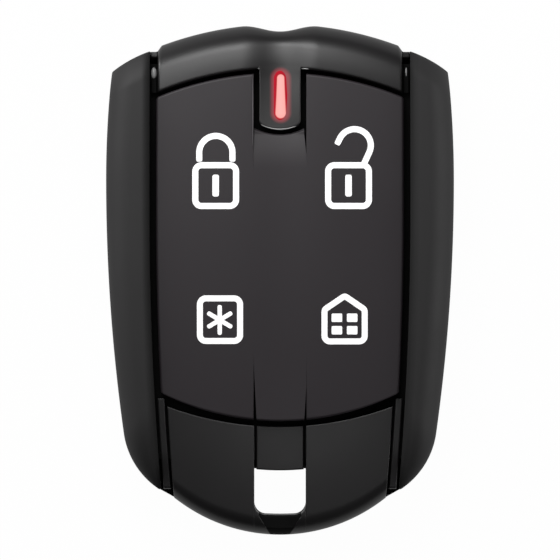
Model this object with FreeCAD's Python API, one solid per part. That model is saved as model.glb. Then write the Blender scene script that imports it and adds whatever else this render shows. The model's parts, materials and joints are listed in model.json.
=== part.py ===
"""Car alarm remote: a hand-held key fob with four keys, a red signal window and a key-ring slot.

It lies on its back, keys up.  X runs across, Y towards the arched end, Z out of the front.  The origin
is on the back face, under the middle of the outline.  All lengths are millimetres and angles degrees.
"""

import FreeCAD, Part
import math
import os
from FreeCAD import Vector

# Outline of the case, seen from the front
HALF_WIDTH = 20.5
WIDEST_Y = 12.0
SIDE_RADIUS_UP = 120.0
SIDE_RADIUS_DOWN = 218.0
CORNER_START_Y = -18.0
CORNER_RADIUS = 9.5
ARCH_TOP_Y = 30.24
ARCH_RADIUS = 40.0
DIP_HALF = 4.6
DIP_DEPTH = 0.87
CHIN_END_Y = -30.0
CHIN_RADIUS = 20.0
CHIN_STRAIGHT_X = 10.0

# Heights, from the back face
PARTING_Z = 6.0
FACE_Z = 12.9
CROWN_Y = 4.0
CROWN_RADIUS_X = 160.0
CROWN_RADIUS_Y = 220.0

# Rear cover
REAR_WALL = 1.45
REAR_FLOOR = 1.4
REAR_ROLL_IN = 4.0
REAR_ROLL_UP = 4.8
REAR_ROLL_STEPS = 4
REAR_LEDGE_IN = 1.2
REAR_LEDGE_UP = 1.1

# Side rails
RAIL_TOP_Y = 27.0
RAIL_CORNER_Y = 24.6
RAIL_TOP_BULGE = 0.18
RAIL_TIP_WIDTH = 0.25
RAIL_INNER_X = 15.35
RAIL_INNER_START_Y = 8.0
RAIL_INNER_RADIUS = 400.0
RAIL_CREST_Z = 13.15
RAIL_CREST_RADIUS = 30.0
RAIL_CREST_SLOPE = 5.0
RAIL_CREST_MIN = 0.3
RAIL_INNER_ROUND = 0.8
RAIL_SHOULDER = 3.8
RAIL_WALL = 1.3
RAIL_TOP_DROP = 1.8
RAIL_TOP_RUN = 3.0
RAIL_END_DROP = 2.7
RAIL_END_RUN = 10.0
RAIL_CLEAR = 0.05
PEG_SIDE = 1.4
PEG_IN = 1.0
PEG_CLEAR = 0.1
PEG_PROUD = 0.3
PEG_YS = (18.0, -12.0)

# Keypad
PAD_RAIL_GAP = 0.77
PAD_TOP_Y = 24.44
PAD_TOP_RADIUS = 38.0
PAD_BOTTOM_Y = -16.55
PAD_BOTTOM_RADIUS = 32.5
PAD_MIDDLE_Y = 3.5
PAD_CORNER = 0.45
PAD_EDGE_ROUND = 0.3
PAD_HOLLOW = 0.15
PAD_HOLLOW_SPREAD = 3.4
SPINE_HALF = 3.1
SPINE_TOP_Y = 17.2
SPINE_TOP_RADIUS = 7.2
SPINE_STEP = 0.5
SPINE_TOP_RUN = 4.0
SPINE_BOTTOM_RUN = 8.0
FLEX_GAP = 0.12
MAT_THICK = 0.4
MAT_INSET = 0.3
KEY_FLOAT = 0.5
NUB_SIDE = 2.8
NUB_CLEAR = 0.5
KEY_SPOTS = {"lock": (-7.6, 12.6), "unlock": (7.6, 12.6), "star": (-7.3, -4.8), "home": (7.3, -4.8)}

# Front cover: arch, chin, island and the plate under the keypad
COVER_WALL = 1.3
COVER_EDGE_ROUND = 0.3
ARCH_PAD_GAP = 0.48
ARCH_SHOULDER = 3.4
ARCH_CREST_RADIUS = 60.0
ARCH_TROUGH = 0.5
ARCH_GROOVE = 0.95
ARCH_CORNER = 0.45
CHIN_EDGE_Y = -17.2
CHIN_EDGE_RADIUS = 38.0
CHIN_SHOULDER = 2.6
CHIN_CREST_RADIUS = 150.0
CHIN_GROOVE = 1.45
BELOW_PAD = 0.4
GROOVE_DEPTH = 0.9
GROOVE_END_DROP = 2.3
GROOVE_END_RUN = 5.0
STRIP_WIDTH = 0.75
STRIP_RISE = 0.9
PLATE_BOTTOM_Z = 8.3
PLATE_THICK = 1.0
SKIRT_CLEAR = 0.1
SKIRT_WALL = 1.0
SKIRT_OVERLAP = 1.0
ISLAND_HALF = 2.42
ISLAND_END_Y = 17.65
ISLAND_END_RADIUS = 4.8
ISLAND_CORNER = 0.45
ISLAND_BELOW = 0.12
CHANNEL_HALF = 3.0
CHANNEL_DEPTH = 0.75

# Key-ring slot
SLOT_HALF = 3.05
SLOT_TOP_Y = -22.2
SLOT_BOTTOM_Y = -27.7
SLOT_CORNER = 1.1
SLOT_WALL = 1.1
SCOOP_HALF = 2.5
SCOOP_END_HALF = 1.1
SCOOP_DEPTH = 0.8

# Signal window
WINDOW_HALF = 0.85
WINDOW_LENGTH = 5.8
WINDOW_Y = 21.77
WINDOW_CLEAR = 0.05
WINDOW_PROUD = 0.1
WINDOW_FLANGE = 0.5
WINDOW_FLANGE_THICK = 0.6
WINDOW_LAMP_GAP = 0.2

# Circuit board and what stands on it
BOARD_BOTTOM_Z = 5.0
BOARD_THICK = 0.8
BOARD_INSET = 3.0
BOARD_END_Y = -19.6
SWITCH_SIDE = 4.5
SWITCH_CORNER = 0.5
SWITCH_BASE_HEIGHT = 1.2
SWITCH_PLATE_THICK = 0.15
SWITCH_WELL = 3.4
SWITCH_WELL_DEPTH = 0.85
PLUNGER_SIDE = 1.8
PLUNGER_FLANGE = 2.6
PLUNGER_FLANGE_THICK = 0.3
PLUNGER_PROUD = 0.65
PLUNGER_CLEAR = 0.08
SPRING_REACH = 1.6
SPRING_FLAT = 0.5
SPRING_HALF = 0.5
SPRING_THICK = 0.08
CHIP_X = 4.9
CHIP_Y = 6.0
CHIP_HEIGHT = 1.4
CHIP_Y_PLACE = -7.0
CHIP_BEVEL = 0.25
PIN_PITCH = 1.27
PIN_COUNT = 4
PIN_WIDTH = 0.42
PIN_REACH = 1.05
PIN_FOOT = 0.5
PIN_THICK = 0.2
PIN_SHOULDER = 0.7
RESONATOR_RADIUS = 2.3
RESONATOR_HEIGHT = 1.3
RESONATOR_Y = 12.0
PASSIVE_LENGTH = 1.6
PASSIVE_WIDTH = 0.8
PASSIVE_HEIGHT = 0.5
PASSIVE_CAP = 0.3
PASSIVE_PITCH = 1.6
RESISTOR_X = -3.0
CAPACITOR_X = 3.0
PASSIVE_START_Y = 0.5
PASSIVE_COUNT = 5
LAMP_X = 1.6
LAMP_Y = 3.2
LAMP_HEIGHT = 0.6
LAMP_LENS_RADIUS = 0.6
LAMP_LENS_HEIGHT = 0.4
TRACE_WIDTH = 1.0
TRACE_THICK = 0.07
TRACE_IN = 0.6
TRACE_GAP_HALF = 5.0

# Coin cell and its contacts
CELL_RADIUS = 10.0
CELL_HEIGHT = 3.2
CELL_Y = 3.6
CELL_CAP_RADIUS = 8.7
CELL_CAP_PROUD = 0.3
CELL_CLEAR = 0.3
CRADLE_WALL = 0.9
CRADLE_RUN = 8.0
CRADLE_HEIGHT = 2.4
CLIP_HALF = 2.0
CLIP_THICK = 0.2
CLIP_FOOT = 2.2
CLIP_START = 5.0
LEAF_WIDTH = 3.0
LEAF_LENGTH = 9.0

# Screw, posts and pins
SCREW_Y = -14.9
SCREW_RADIUS = 1.0
SCREW_HEAD_RADIUS = 1.9
SCREW_HEAD_HEIGHT = 1.2
SCREW_SINK = 0.5
SCREW_CLEAR = 0.15
SCREW_GRIP = 0.03
SCREW_LENGTH = 7.2
SCREW_POINT = 0.8
CROSS_WIDTH = 0.5
CROSS_HALF = 1.2
CROSS_DEPTH = 0.6
BOSS_RADIUS = 2.6
BOSS_CLEAR = 0.2
POST_SIDE = 2.6
POST_SPOTS = ((12.5, 20.0), (9.5, -14.8))
PIN_RADIUS = 0.75
PIN_CLEAR = 0.1
PIN_HEIGHT = 0.7

# What follows from these
PLATE_TOP_Z = PLATE_BOTTOM_Z + PLATE_THICK
MAT_TOP_Z = PLATE_TOP_Z + MAT_THICK
KEY_BOTTOM_Z = MAT_TOP_Z + KEY_FLOAT
BOARD_TOP_Z = BOARD_BOTTOM_Z + BOARD_THICK
SWITCH_TOP_Z = BOARD_TOP_Z + SWITCH_BASE_HEIGHT
WELL_FLOOR_Z = SWITCH_TOP_Z - SWITCH_WELL_DEPTH
FLANGE_BOTTOM_Z = SWITCH_TOP_Z - PLUNGER_FLANGE_THICK
PLUNGER_TOP_Z = SWITCH_TOP_Z + SWITCH_PLATE_THICK + PLUNGER_PROUD
CELL_BOTTOM_Z = REAR_FLOOR + CLIP_THICK
CELL_TOP_Z = CELL_BOTTOM_Z + CELL_HEIGHT
LAMP_TOP_Z = BOARD_TOP_Z + LAMP_HEIGHT + LAMP_LENS_HEIGHT
HEAD_SEAT_Z = SCREW_SINK + SCREW_HEAD_HEIGHT
SKIRT_IN = REAR_WALL + SKIRT_CLEAR
SKIRT_FOOT_Z = PARTING_Z - SKIRT_OVERLAP
HALF_LENGTH = -CHIN_END_Y
ABOVE_ALL = 2 * FACE_Z
BEYOND = 2.0
RIGHT_ANGLE = math.pi / 2


def sag(offset, radius):
    """Drop of a circle from its top, at an offset to one side."""
    return radius - math.sqrt(radius * radius - offset * offset)


def spaced(start, end, count):
    """Evenly spaced numbers from start to end."""
    return [start + (end - start) * i / (count - 1) for i in range(count)]


def crown(x, y):
    """Height of the crowned front over a point of the plan: one arc swept along another."""
    return FACE_Z - sag(x, CROWN_RADIUS_X) - sag(y - CROWN_Y, CROWN_RADIUS_Y)


def dip(x):
    """Share of the centre dip at x: 1 in the middle, fading to 0 at its edges."""
    return math.cos(RIGHT_ANGLE * min(abs(x) / DIP_HALF, 1.0)) ** 2


def arch_outer_y(x):
    return ARCH_TOP_Y - sag(x, ARCH_RADIUS) - DIP_DEPTH * dip(x)


def arch_inner_y(x):
    return pad_top_y(x) + ARCH_PAD_GAP


def chin_outer_y(x):
    return CHIN_END_Y + sag(x, CHIN_RADIUS)


def chin_inner_y(x):
    return CHIN_EDGE_Y + sag(x, CHIN_EDGE_RADIUS)


def pad_top_y(x):
    return PAD_TOP_Y - sag(x, PAD_TOP_RADIUS)


def pad_bottom_y(x):
    return PAD_BOTTOM_Y + sag(x, PAD_BOTTOM_RADIUS)


def side_x(y):
    """Outer edge of a rail above its lower corner: two arcs that meet at the widest point."""
    radius = SIDE_RADIUS_UP if y > WIDEST_Y else SIDE_RADIUS_DOWN
    return HALF_WIDTH - sag(y - WIDEST_Y, radius)


def rail_inner_x(y):
    """Inner edge of a rail: straight above its start, and an arc below it."""
    return RAIL_INNER_X - sag(min(y - RAIL_INNER_START_Y, 0.0), RAIL_INNER_RADIUS)


def pad_side_x(y):
    return rail_inner_x(y) - PAD_RAIL_GAP


def arch_side_x(y):
    return rail_inner_x(y) - ARCH_GROOVE


def chin_side_x(y):
    return rail_inner_x(y) - CHIN_GROOVE


def corner_circle():
    """Centre of the lower corner's arc, tangent to the side, and the angle where it starts."""
    lean = math.asin((WIDEST_Y - CORNER_START_Y) / SIDE_RADIUS_DOWN)
    x = side_x(CORNER_START_Y) - CORNER_RADIUS * math.cos(lean)
    y = CORNER_START_Y + CORNER_RADIUS * math.sin(lean)
    return x, y, -lean


def corner_end_angle():
    """Angle on the lower corner's arc where the rail has narrowed to its tip, found by halving."""
    x, y, start = corner_circle()
    wide, narrow = start, -RIGHT_ANGLE
    while wide - narrow > 1e-9:
        angle = (wide + narrow) / 2
        width = x + CORNER_RADIUS * math.cos(angle) - rail_inner_x(y + CORNER_RADIUS * math.sin(angle))
        if width > RAIL_TIP_WIDTH:
            wide = angle
        else:
            narrow = angle
    return wide


def corner_point(share):
    """Point on the lower corner's arc: share 0 at the side, 1 at the rail's tip."""
    x, y, start = corner_circle()
    angle = start + share * (corner_end_angle() - start)
    return x + CORNER_RADIUS * math.cos(angle), y + CORNER_RADIUS * math.sin(angle)


def point(xy, z=0.0):
    return Vector(xy[0], xy[1], z)


def line(a, b):
    return Part.LineSegment(a, b).toShape()


def arc(a, b, c):
    return Part.Arc(a, b, c).toShape()


def ring(edges):
    """Closed wire from edges in any order."""
    return Part.Wire(Part.__sortEdges__(edges))


def curve(points):
    """Smooth edge through points of a formula."""
    spline = Part.BSplineCurve()
    spline.interpolate(points)
    return spline.toShape()


def along_x(height, start, end, count=5):
    """Smooth edge along y = height(x)."""
    return curve([point((x, height(x))) for x in spaced(start, end, count)])


def along_y(reach, start, end, count=5):
    """Smooth edge along x = reach(y)."""
    return curve([point((reach(y), y)) for y in spaced(start, end, count)])


def mirrored(shape):
    """The same piece on the other side of the middle."""
    return shape.mirror(Vector(0, 0, 0), Vector(1, 0, 0))


def prism(wire, low, high):
    """Solid between two heights over a flat outline."""
    face = Part.Face(wire)
    face.translate(Vector(0, 0, low))
    return face.extrude(Vector(0, 0, high - low))


def box(x_limits, y_limits, z_limits):
    corner = Vector(x_limits[0], y_limits[0], z_limits[0])
    sides = [limits[1] - limits[0] for limits in (x_limits, y_limits, z_limits)]
    return Part.makeBox(*sides, corner)


def block(x, y, size_x, size_y, low, high):
    """Box centred on a point of the plan."""
    return box((x - size_x / 2, x + size_x / 2), (y - size_y / 2, y + size_y / 2), (low, high))


def rod(x, y, low, high, radius):
    return Part.makeCylinder(radius, high - low, Vector(x, y, low))


def turned(x, y, profile):
    """Solid of revolution about an upright axis, from (radius, height) corners."""
    spots = [Vector(radius, 0, z) for radius, z in profile]
    solid = Part.Face(Part.makePolygon(spots + spots[:1])).revolve(Vector(0, 0, 0), Vector(0, 0, 1), 360)
    solid.translate(Vector(x, y, 0))
    return solid


def joined(shapes):
    """One solid made of overlapping ones."""
    return shapes[0].multiFuse(shapes[1:]).Solids[0]


def without(solid, tools):
    for tool in tools:
        solid = solid.cut(tool)
    return solid


def slab(height, x_limits, y_limits, columns, rows):
    """Solid under a smooth surface through the heights of a formula."""
    ys = spaced(*y_limits, rows)
    grid = [[Vector(x, y, height(x, y)) for y in ys] for x in spaced(*x_limits, columns)]
    surface = Part.BSplineSurface()
    surface.interpolate(grid)
    return surface.toShape().extrude(Vector(0, 0, -FACE_Z))


def square(x, y, side, low, high):
    return block(x, y, side, side, low, high)


def stadium(y, half, length, low, high):
    """Upright bar on the centre line, long in Y, with round ends."""
    run = length / 2 - half
    right = line(point((half, y - run)), point((half, y + run)))
    ends = [arc(point((half, y + way * run)), point((0, y + way * length / 2)), point((-half, y + way * run)))
            for way in (-1, 1)]
    return prism(ring([right, mirrored(right)] + ends), low, high)


def arch_end(corner):
    """Ends of the arch's outer edge and of its side, apart by a cut-off corner."""
    reach = arch_side_x(RAIL_TOP_Y)
    return point((reach - corner, arch_outer_y(reach - corner))), point((reach, arch_outer_y(reach) - corner))


def rail_top_edge(start):
    """Slanted top of the right rail, slightly bulged: from the arch's corner to the rail's."""
    end = point((side_x(RAIL_CORNER_Y), RAIL_CORNER_Y))
    across = Vector(start.y - end.y, end.x - start.x, 0).normalize()
    return arc(start, (start + end) / 2 + across * RAIL_TOP_BULGE, end)


def side_edges(chin_x, start):
    """Sides of the outline with the chin between them, and a straight run from each rail's tip to the chin."""
    upper = [point((side_x(y), y)) for y in spaced(RAIL_CORNER_Y, WIDEST_Y, 3)]
    lower = [point((side_x(y), y)) for y in spaced(WIDEST_Y, CORNER_START_Y, 3)]
    corner = [point(corner_point(share)) for share in (0.0, 0.5, 1.0)]
    chin = point((chin_x, chin_outer_y(chin_x)))
    right = [rail_top_edge(start), arc(*upper), arc(*lower), arc(*corner), line(corner[2], chin)]
    bottom = arc(chin, point((0, CHIN_END_Y)), point((-chin_x, chin_outer_y(chin_x))))
    return right + [mirrored(edge) for edge in right] + [bottom]


def outline():
    """The case's outline with the dip in its arch and the arch's cut-off corners."""
    top, start = arch_end(ARCH_CORNER)
    side = arc(*[point((x, arch_outer_y(x))) for x in (DIP_HALF, (DIP_HALF + top.x) / 2, top.x)])
    right = [side, line(top, start)]
    dip_edge = along_x(arch_outer_y, -DIP_HALF, DIP_HALF, 7)
    edges = side_edges(chin_side_x(corner_point(1.0)[1]), start)
    return ring(edges + right + [mirrored(edge) for edge in right] + [dip_edge])


def core(inset, low, high):
    """Solid inside the outline and under its dip, drawn in by an inset."""
    end = arch_end(0.0)[1]
    top = arc(point((-end.x, end.y)), point((0, arch_outer_y(0))), end)
    return prism(ring(side_edges(CHIN_STRAIGHT_X, end) + [top]).makeOffset2D(-inset), low, high)


def rear_form():
    """Rear cover's outer form: a straight rim and an elliptical roll in steps down to the flat back."""
    rim = outline()
    rings = []
    for turn in spaced(0.0, RIGHT_ANGLE, REAR_ROLL_STEPS + 1):
        inset = REAR_ROLL_IN * (1 - math.cos(turn))
        matrix = FreeCAD.Matrix()
        matrix.scale(1 - inset / HALF_WIDTH, 1 - inset / HALF_LENGTH, 1)
        wire = rim.transformGeometry(matrix)
        wire.translate(Vector(0, 0, REAR_ROLL_UP * (1 - math.sin(turn))))
        rings.append(wire)
    return joined([Part.makeLoft(rings, True, True), prism(rim, REAR_ROLL_UP, PARTING_Z)])


def rear_room():
    """Hollow of the rear cover, with a ledge round its floor where the outside rolls in."""
    low = core(REAR_WALL + REAR_LEDGE_IN, REAR_FLOOR, PARTING_Z)
    return joined([low, core(REAR_WALL, REAR_FLOOR + REAR_LEDGE_UP, PARTING_Z)])


def roll_points(width, top_z, slope, inner_round, crest_radius, shoulder):
    """Three tangent arcs across a strip: a rounded inner edge, a flat crest and a deep outer shoulder.

    Returns the seven points (distance across, height) that the arcs pass through.
    """
    lead = math.sin(slope)
    fall = (width - inner_round * (1 + lead) + crest_radius * lead - shoulder) / (crest_radius - shoulder)
    end = math.asin(fall)
    base = top_z - inner_round
    points = []
    for turn in spaced(-RIGHT_ANGLE, slope, 3):
        points.append((inner_round * (1 + math.sin(turn)), base + inner_round * math.cos(turn)))
    across, height = points[-1]
    for turn in ((slope + end) / 2, end):
        run = crest_radius * (math.sin(turn) - lead)
        points.append((across + run, height - crest_radius * (math.cos(slope) - math.cos(turn))))
    across, height = points[-1]
    for turn in ((end + RIGHT_ANGLE) / 2, RIGHT_ANGLE):
        run = shoulder * (math.sin(turn) - fall)
        points.append((across + run, height - shoulder * (math.cos(end) - math.cos(turn))))
    return points


def roll_section(inner, outer, foot_z, hollow, *shape):
    """Upright closed section from an inner to an outer point of the plan, with a rolled top.

    A hollow's section has straight lines through the same points in place of the arcs.
    """
    width = math.dist(inner, outer)
    along = Vector((outer[0] - inner[0]) / width, (outer[1] - inner[1]) / width, 0)
    spots = [point(inner, z) + along * across for across, z in roll_points(width, *shape)]
    feet = [point(outer, foot_z), point(inner, foot_z)]
    if hollow:
        return Part.makePolygon(spots + feet + spots[:1])
    edges = [arc(*spots[i:i + 3]) for i in (0, 2, 4)]
    edges += [line(spots[6], feet[0]), line(feet[0], feet[1]), line(feet[1], spots[0])]
    return Part.Wire(edges)


def rail_ends(share):
    """Inner and outer points of the right rail: share 0 at its slanted top, 1 at its tip."""
    tip = corner_point(1.0)
    inner_y = RAIL_TOP_Y + share * (tip[1] - RAIL_TOP_Y)
    side_run = RAIL_CORNER_Y - CORNER_START_Y
    side_share = side_run / (side_run + CORNER_RADIUS)
    if share < side_share:
        outer_y = RAIL_CORNER_Y - share / side_share * side_run
        outer = (side_x(outer_y), outer_y)
    else:
        outer = corner_point((share - side_share) / (1 - side_share))
    return (rail_inner_x(inner_y), inner_y), outer


def rail_section(share, inset, foot_z):
    inner, outer = rail_ends(share)
    y = (inner[1] + outer[1]) / 2
    from_top = max(1 - (RAIL_TOP_Y - inner[1]) / RAIL_TOP_RUN, 0.0)
    from_tip = max(1 - (inner[1] - corner_point(1.0)[1]) / RAIL_END_RUN, 0.0)
    top_z = RAIL_CREST_Z - sag(y - CROWN_Y, CROWN_RADIUS_Y) - inset
    top_z -= RAIL_TOP_DROP * from_top ** 2 + RAIL_END_DROP * from_tip ** 2
    width = math.dist(inner, outer)
    part = inset / width
    ends = [
        tuple(a + part * (b - a) for a, b in zip(inner, outer)),
        tuple(b - part * (b - a) for a, b in zip(inner, outer)),
    ]
    width -= 2 * inset
    fit = min(width / (RAIL_INNER_ROUND + RAIL_CREST_MIN + RAIL_SHOULDER), 1.0)
    slope = math.radians(RAIL_CREST_SLOPE)
    return roll_section(*ends, foot_z, inset > 0, top_z, slope, RAIL_INNER_ROUND * fit, RAIL_CREST_RADIUS,
                        RAIL_SHOULDER * fit)


def arch_section(x, inset, foot_z):
    """Section of the arch at x, from the keypad's edge to the outline."""
    inner = (x, arch_inner_y(x) + inset)
    outer = (x, arch_outer_y(x) - inset)
    top_z = crown(x, arch_inner_y(x)) - ARCH_TROUGH * dip(x) - inset
    slope = math.asin((arch_inner_y(x) - CROWN_Y) / CROWN_RADIUS_Y)
    fit = min((outer[1] - inner[1]) / (COVER_EDGE_ROUND + RAIL_CREST_MIN + ARCH_SHOULDER), 1.0)
    return roll_section(inner, outer, foot_z, inset > 0, top_z, slope, COVER_EDGE_ROUND * fit, ARCH_CREST_RADIUS,
                        ARCH_SHOULDER * fit)


def chin_section(x, inset, foot_z):
    """Section of the chin at x, from the keypad's edge to the outline."""
    inner = (x, chin_inner_y(x) - inset)
    outer = (x, chin_outer_y(x) + inset)
    top_z = crown(x, chin_inner_y(x)) - BELOW_PAD - inset
    slope = math.asin((CROWN_Y - chin_inner_y(x)) / CROWN_RADIUS_Y)
    return roll_section(inner, outer, foot_z, inset > 0, top_z, slope, COVER_EDGE_ROUND, CHIN_CREST_RADIUS,
                        CHIN_SHOULDER - inset / 2)


def loft(section, stations, inset, foot_z):
    return Part.makeLoft([section(station, inset, foot_z) for station in stations], True, True)


def slot_prism(grow, low, high):
    """Key-ring slot as a solid, square at the top and rounded at the bottom, grown by a wall."""
    half = SLOT_HALF + grow
    solid = box((-half, half), (SLOT_BOTTOM_Y - grow, SLOT_TOP_Y + grow), (low, high))
    corners = [e for e in solid.Edges if e.BoundBox.ZLength > (high - low) / 2 and e.BoundBox.YMax < SLOT_TOP_Y]
    return solid.makeFillet(SLOT_CORNER + grow, corners)


def pad_height(x, y):
    """The keypad's face: the crown, with a shallow hollow down its middle."""
    return crown(x, y) - PAD_HOLLOW * math.exp(-((x / PAD_HOLLOW_SPREAD) ** 2))


def spine_height(x, y):
    """The spine is flush with the keys in the middle and steps down towards both ends."""
    top_share = min(max(1 - (SPINE_TOP_Y - y) / SPINE_TOP_RUN, 0.0), 1.0)
    bottom_share = max(1 - (y - PAD_BOTTOM_Y) / SPINE_BOTTOM_RUN, 0.0)
    return pad_height(x, y) - SPINE_STEP * max(top_share, bottom_share) ** 2


def key_prism(upper, low, high):
    """Right-hand key's outline as a solid between two heights, with its free corner rounded."""
    inner = SPINE_HALF + FLEX_GAP / 2
    edge_y = pad_top_y if upper else pad_bottom_y
    middle = PAD_MIDDLE_Y + (FLEX_GAP if upper else -FLEX_GAP) / 2
    reach = pad_side_x(edge_y(pad_side_x(edge_y(inner))))
    corner_y = edge_y(reach)
    start = point((pad_side_x(middle), middle))
    end = point((pad_side_x(corner_y), corner_y))
    spots = [point((x, edge_y(x))) for x in spaced(end.x, inner, 3)]
    first = point((inner, middle))
    edges = [line(first, start), along_y(pad_side_x, middle, corner_y), arc(end, *spots[1:]), line(spots[2], first)]
    solid = prism(Part.Wire(edges), low, high)
    upright = [e for e in solid.Edges if e.BoundBox.ZLength > (high - low) / 2]
    corner = [e for e in upright if math.dist((e.CenterOfMass.x, e.CenterOfMass.y), (end.x, end.y)) < FLEX_GAP]
    return solid.makeFillet(PAD_CORNER, corner)


def key(name):
    """One key: crowned face, rounded outer edges, flat underside and the nub that works its switch."""
    x, y = KEY_SPOTS[name]
    face = slab(pad_height, (0, HALF_WIDTH), (2 * PAD_BOTTOM_Y, 2 * PAD_TOP_Y), 9, 9)
    solid = key_prism(y > PAD_MIDDLE_Y, KEY_BOTTOM_Z, ABOVE_ALL).common(face)
    top = max(solid.Faces, key=lambda f: f.CenterOfMass.z)
    inner = SPINE_HALF + FLEX_GAP
    rim = [e for e in top.Edges if e.BoundBox.XMax > inner and abs(e.CenterOfMass.y - PAD_MIDDLE_Y) > FLEX_GAP]
    solid = solid.makeChamfer(PAD_EDGE_ROUND, rim)
    solid = joined([solid, square(abs(x), y, NUB_SIDE, PLUNGER_TOP_Z, KEY_BOTTOM_Z + MAT_THICK)])
    return mirrored(solid) if x < 0 else solid


def mat_sheet():
    """Flat sheet of the keypad, drawn in from the keys' outer edges."""
    top, bottom = PAD_TOP_Y - MAT_INSET, PAD_BOTTOM_Y + MAT_INSET
    upper = top - sag(pad_side_x(top) - MAT_INSET, PAD_TOP_RADIUS)
    lower = bottom + sag(pad_side_x(bottom) - MAT_INSET, PAD_BOTTOM_RADIUS)
    side = along_y(lambda y: pad_side_x(y) - MAT_INSET, upper, lower, 7)
    a, b = side.Vertexes[0].Point, side.Vertexes[-1].Point
    ends = [arc(a, point((0, top)), point((-a.x, a.y))), arc(b, point((0, bottom)), point((-b.x, b.y)))]
    return prism(ring([side, mirrored(side)] + ends), PLATE_TOP_Z, MAT_TOP_Z)


def hollow_arc(half, middle_y, radius):
    """Shallow arc across the middle, lowest at the centre line."""
    return arc(*[point((x, middle_y + sag(x, radius))) for x in (-half, 0, half)])


def tongue(half, middle_y, radius, top, low):
    """Upright bar on the centre line with an arc for its lower edge."""
    end = hollow_arc(half, middle_y, radius)
    left, right = end.Vertexes[0].Point, end.Vertexes[1].Point
    corners = [left, Vector(-half, top, 0), Vector(half, top, 0), right]
    return prism(ring([end] + [line(*pair) for pair in zip(corners, corners[1:])]), low, ABOVE_ALL)


def spine():
    """Strip between the left and right keys."""
    half = SPINE_HALF - FLEX_GAP / 2
    spots = [point((x, pad_bottom_y(x))) for x in (half, 0, -half)]
    top = hollow_arc(half, SPINE_TOP_Y, SPINE_TOP_RADIUS)
    left, right = top.Vertexes[0].Point, top.Vertexes[1].Point
    edges = [top, line(right, spots[0]), arc(*spots), line(spots[2], left)]
    limits = (PAD_BOTTOM_Y - BEYOND, SPINE_TOP_Y + BEYOND)
    face = slab(spine_height, (-HALF_WIDTH, HALF_WIDTH), limits, 15, 15)
    return prism(Part.Wire(edges), PLATE_TOP_Z, ABOVE_ALL).common(face)


def keypad_mat():
    """Rubber sheet under the keys, one piece with the spine between them."""
    island_room = tongue(SPINE_HALF, SPINE_TOP_Y, SPINE_TOP_RADIUS, PAD_TOP_Y, 0)
    holes = [square(x, y, NUB_SIDE + 2 * NUB_CLEAR, 0, KEY_BOTTOM_Z) for x, y in KEY_SPOTS.values()]
    return without(joined([mat_sheet(), spine()]), [island_room] + holes)


def end_drop(y):
    """How much the grooves' floors sink towards the nearer end of the case."""
    end = RAIL_TOP_Y if y > 0 else -corner_point(1.0)[1]
    return GROOVE_END_DROP * max(1 - (end - abs(y)) / GROOVE_END_RUN, 0.0) ** 2


def groove_height(x, y):
    return crown(x, y) - BELOW_PAD - GROOVE_DEPTH - end_drop(y)


def strip_height(x, y):
    return groove_height(x, y) - STRIP_RISE


def side_strip(start, end, outer_in, inner_in, height):
    """Bar of the cover beside the right rail, between two insets from the rail, under a height."""
    outer = along_y(lambda y: rail_inner_x(y) - outer_in, start, end)
    inner = along_y(lambda y: rail_inner_x(y) - inner_in, start, end)
    ends = [line(outer.Vertexes[i].Point, inner.Vertexes[i].Point) for i in (0, -1)]
    bar = prism(ring([outer, inner] + ends), PARTING_Z, ABOVE_ALL)
    limits = (min(start, end) - BEYOND, max(start, end) + BEYOND)
    return bar.common(slab(height, (ISLAND_HALF, HALF_WIDTH), limits, 5, 15))


def groove_floors():
    """What shows in the grooves: a floor beside the arch, and a deeper one with a strip beside the chin."""
    tip_y = corner_point(1.0)[1]
    inner = CHIN_GROOVE + COVER_WALL / 2
    strip = (RAIL_CLEAR + CHIN_GROOVE - STRIP_WIDTH) / 2
    bars = [
        side_strip(RAIL_TOP_Y, arch_inner_y(arch_side_x(RAIL_TOP_Y)), RAIL_CLEAR, inner, groove_height),
        side_strip(tip_y, chin_inner_y(RAIL_INNER_X), RAIL_CLEAR, inner, strip_height),
        side_strip(tip_y, chin_inner_y(RAIL_INNER_X), strip, strip + STRIP_WIDTH, groove_height),
    ]
    return bars + [mirrored(bar) for bar in bars]


def island_height(x, y):
    """The island's top, sinking into the arch's trough where the two meet."""
    share = (y - ISLAND_END_Y) / (arch_inner_y(0) - ISLAND_END_Y)
    return crown(x, y) - ISLAND_BELOW - (ARCH_TROUGH * dip(x) - ISLAND_BELOW) * min(max(share, 0.0), 1.0)


def island():
    """The tongue that comes down from the arch and carries the signal window."""
    top = arch_inner_y(0) + COVER_WALL / 2
    solid = tongue(ISLAND_HALF, ISLAND_END_Y, ISLAND_END_RADIUS, top, PLATE_BOTTOM_Z)
    corners = [e for e in solid.Edges if e.BoundBox.ZLength > FACE_Z / 2 and e.BoundBox.YMax < WINDOW_Y]
    face = slab(island_height, (-DIP_HALF, DIP_HALF), (ISLAND_END_Y - BEYOND, top + BEYOND), 9, 11)
    return solid.makeFillet(ISLAND_CORNER, corners).common(face)


def chin_trim():
    """Room between the left and right edges of the chin."""
    edge = along_y(chin_side_x, chin_inner_y(RAIL_INNER_X) + BEYOND, CHIN_END_Y - BEYOND)
    ends = [line(v.Point, Vector(-v.X, v.Y, v.Z)) for v in edge.Vertexes]
    return prism(ring([edge, mirrored(edge)] + ends), PARTING_Z, ABOVE_ALL)


def stations(middle, middle_count, side):
    """Places across the cover: evenly spaced over its middle, then given ones to both sides."""
    return [-x for x in reversed(side)] + spaced(-middle, middle, middle_count) + side


def chin_middle(grow):
    """Zone round the channel and the key-ring slot."""
    half = max(CHANNEL_HALF, SLOT_HALF) + grow
    return box((-half, half), (CHIN_END_Y - BEYOND, CHIN_EDGE_Y + BEYOND), (0, ABOVE_ALL))


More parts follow.
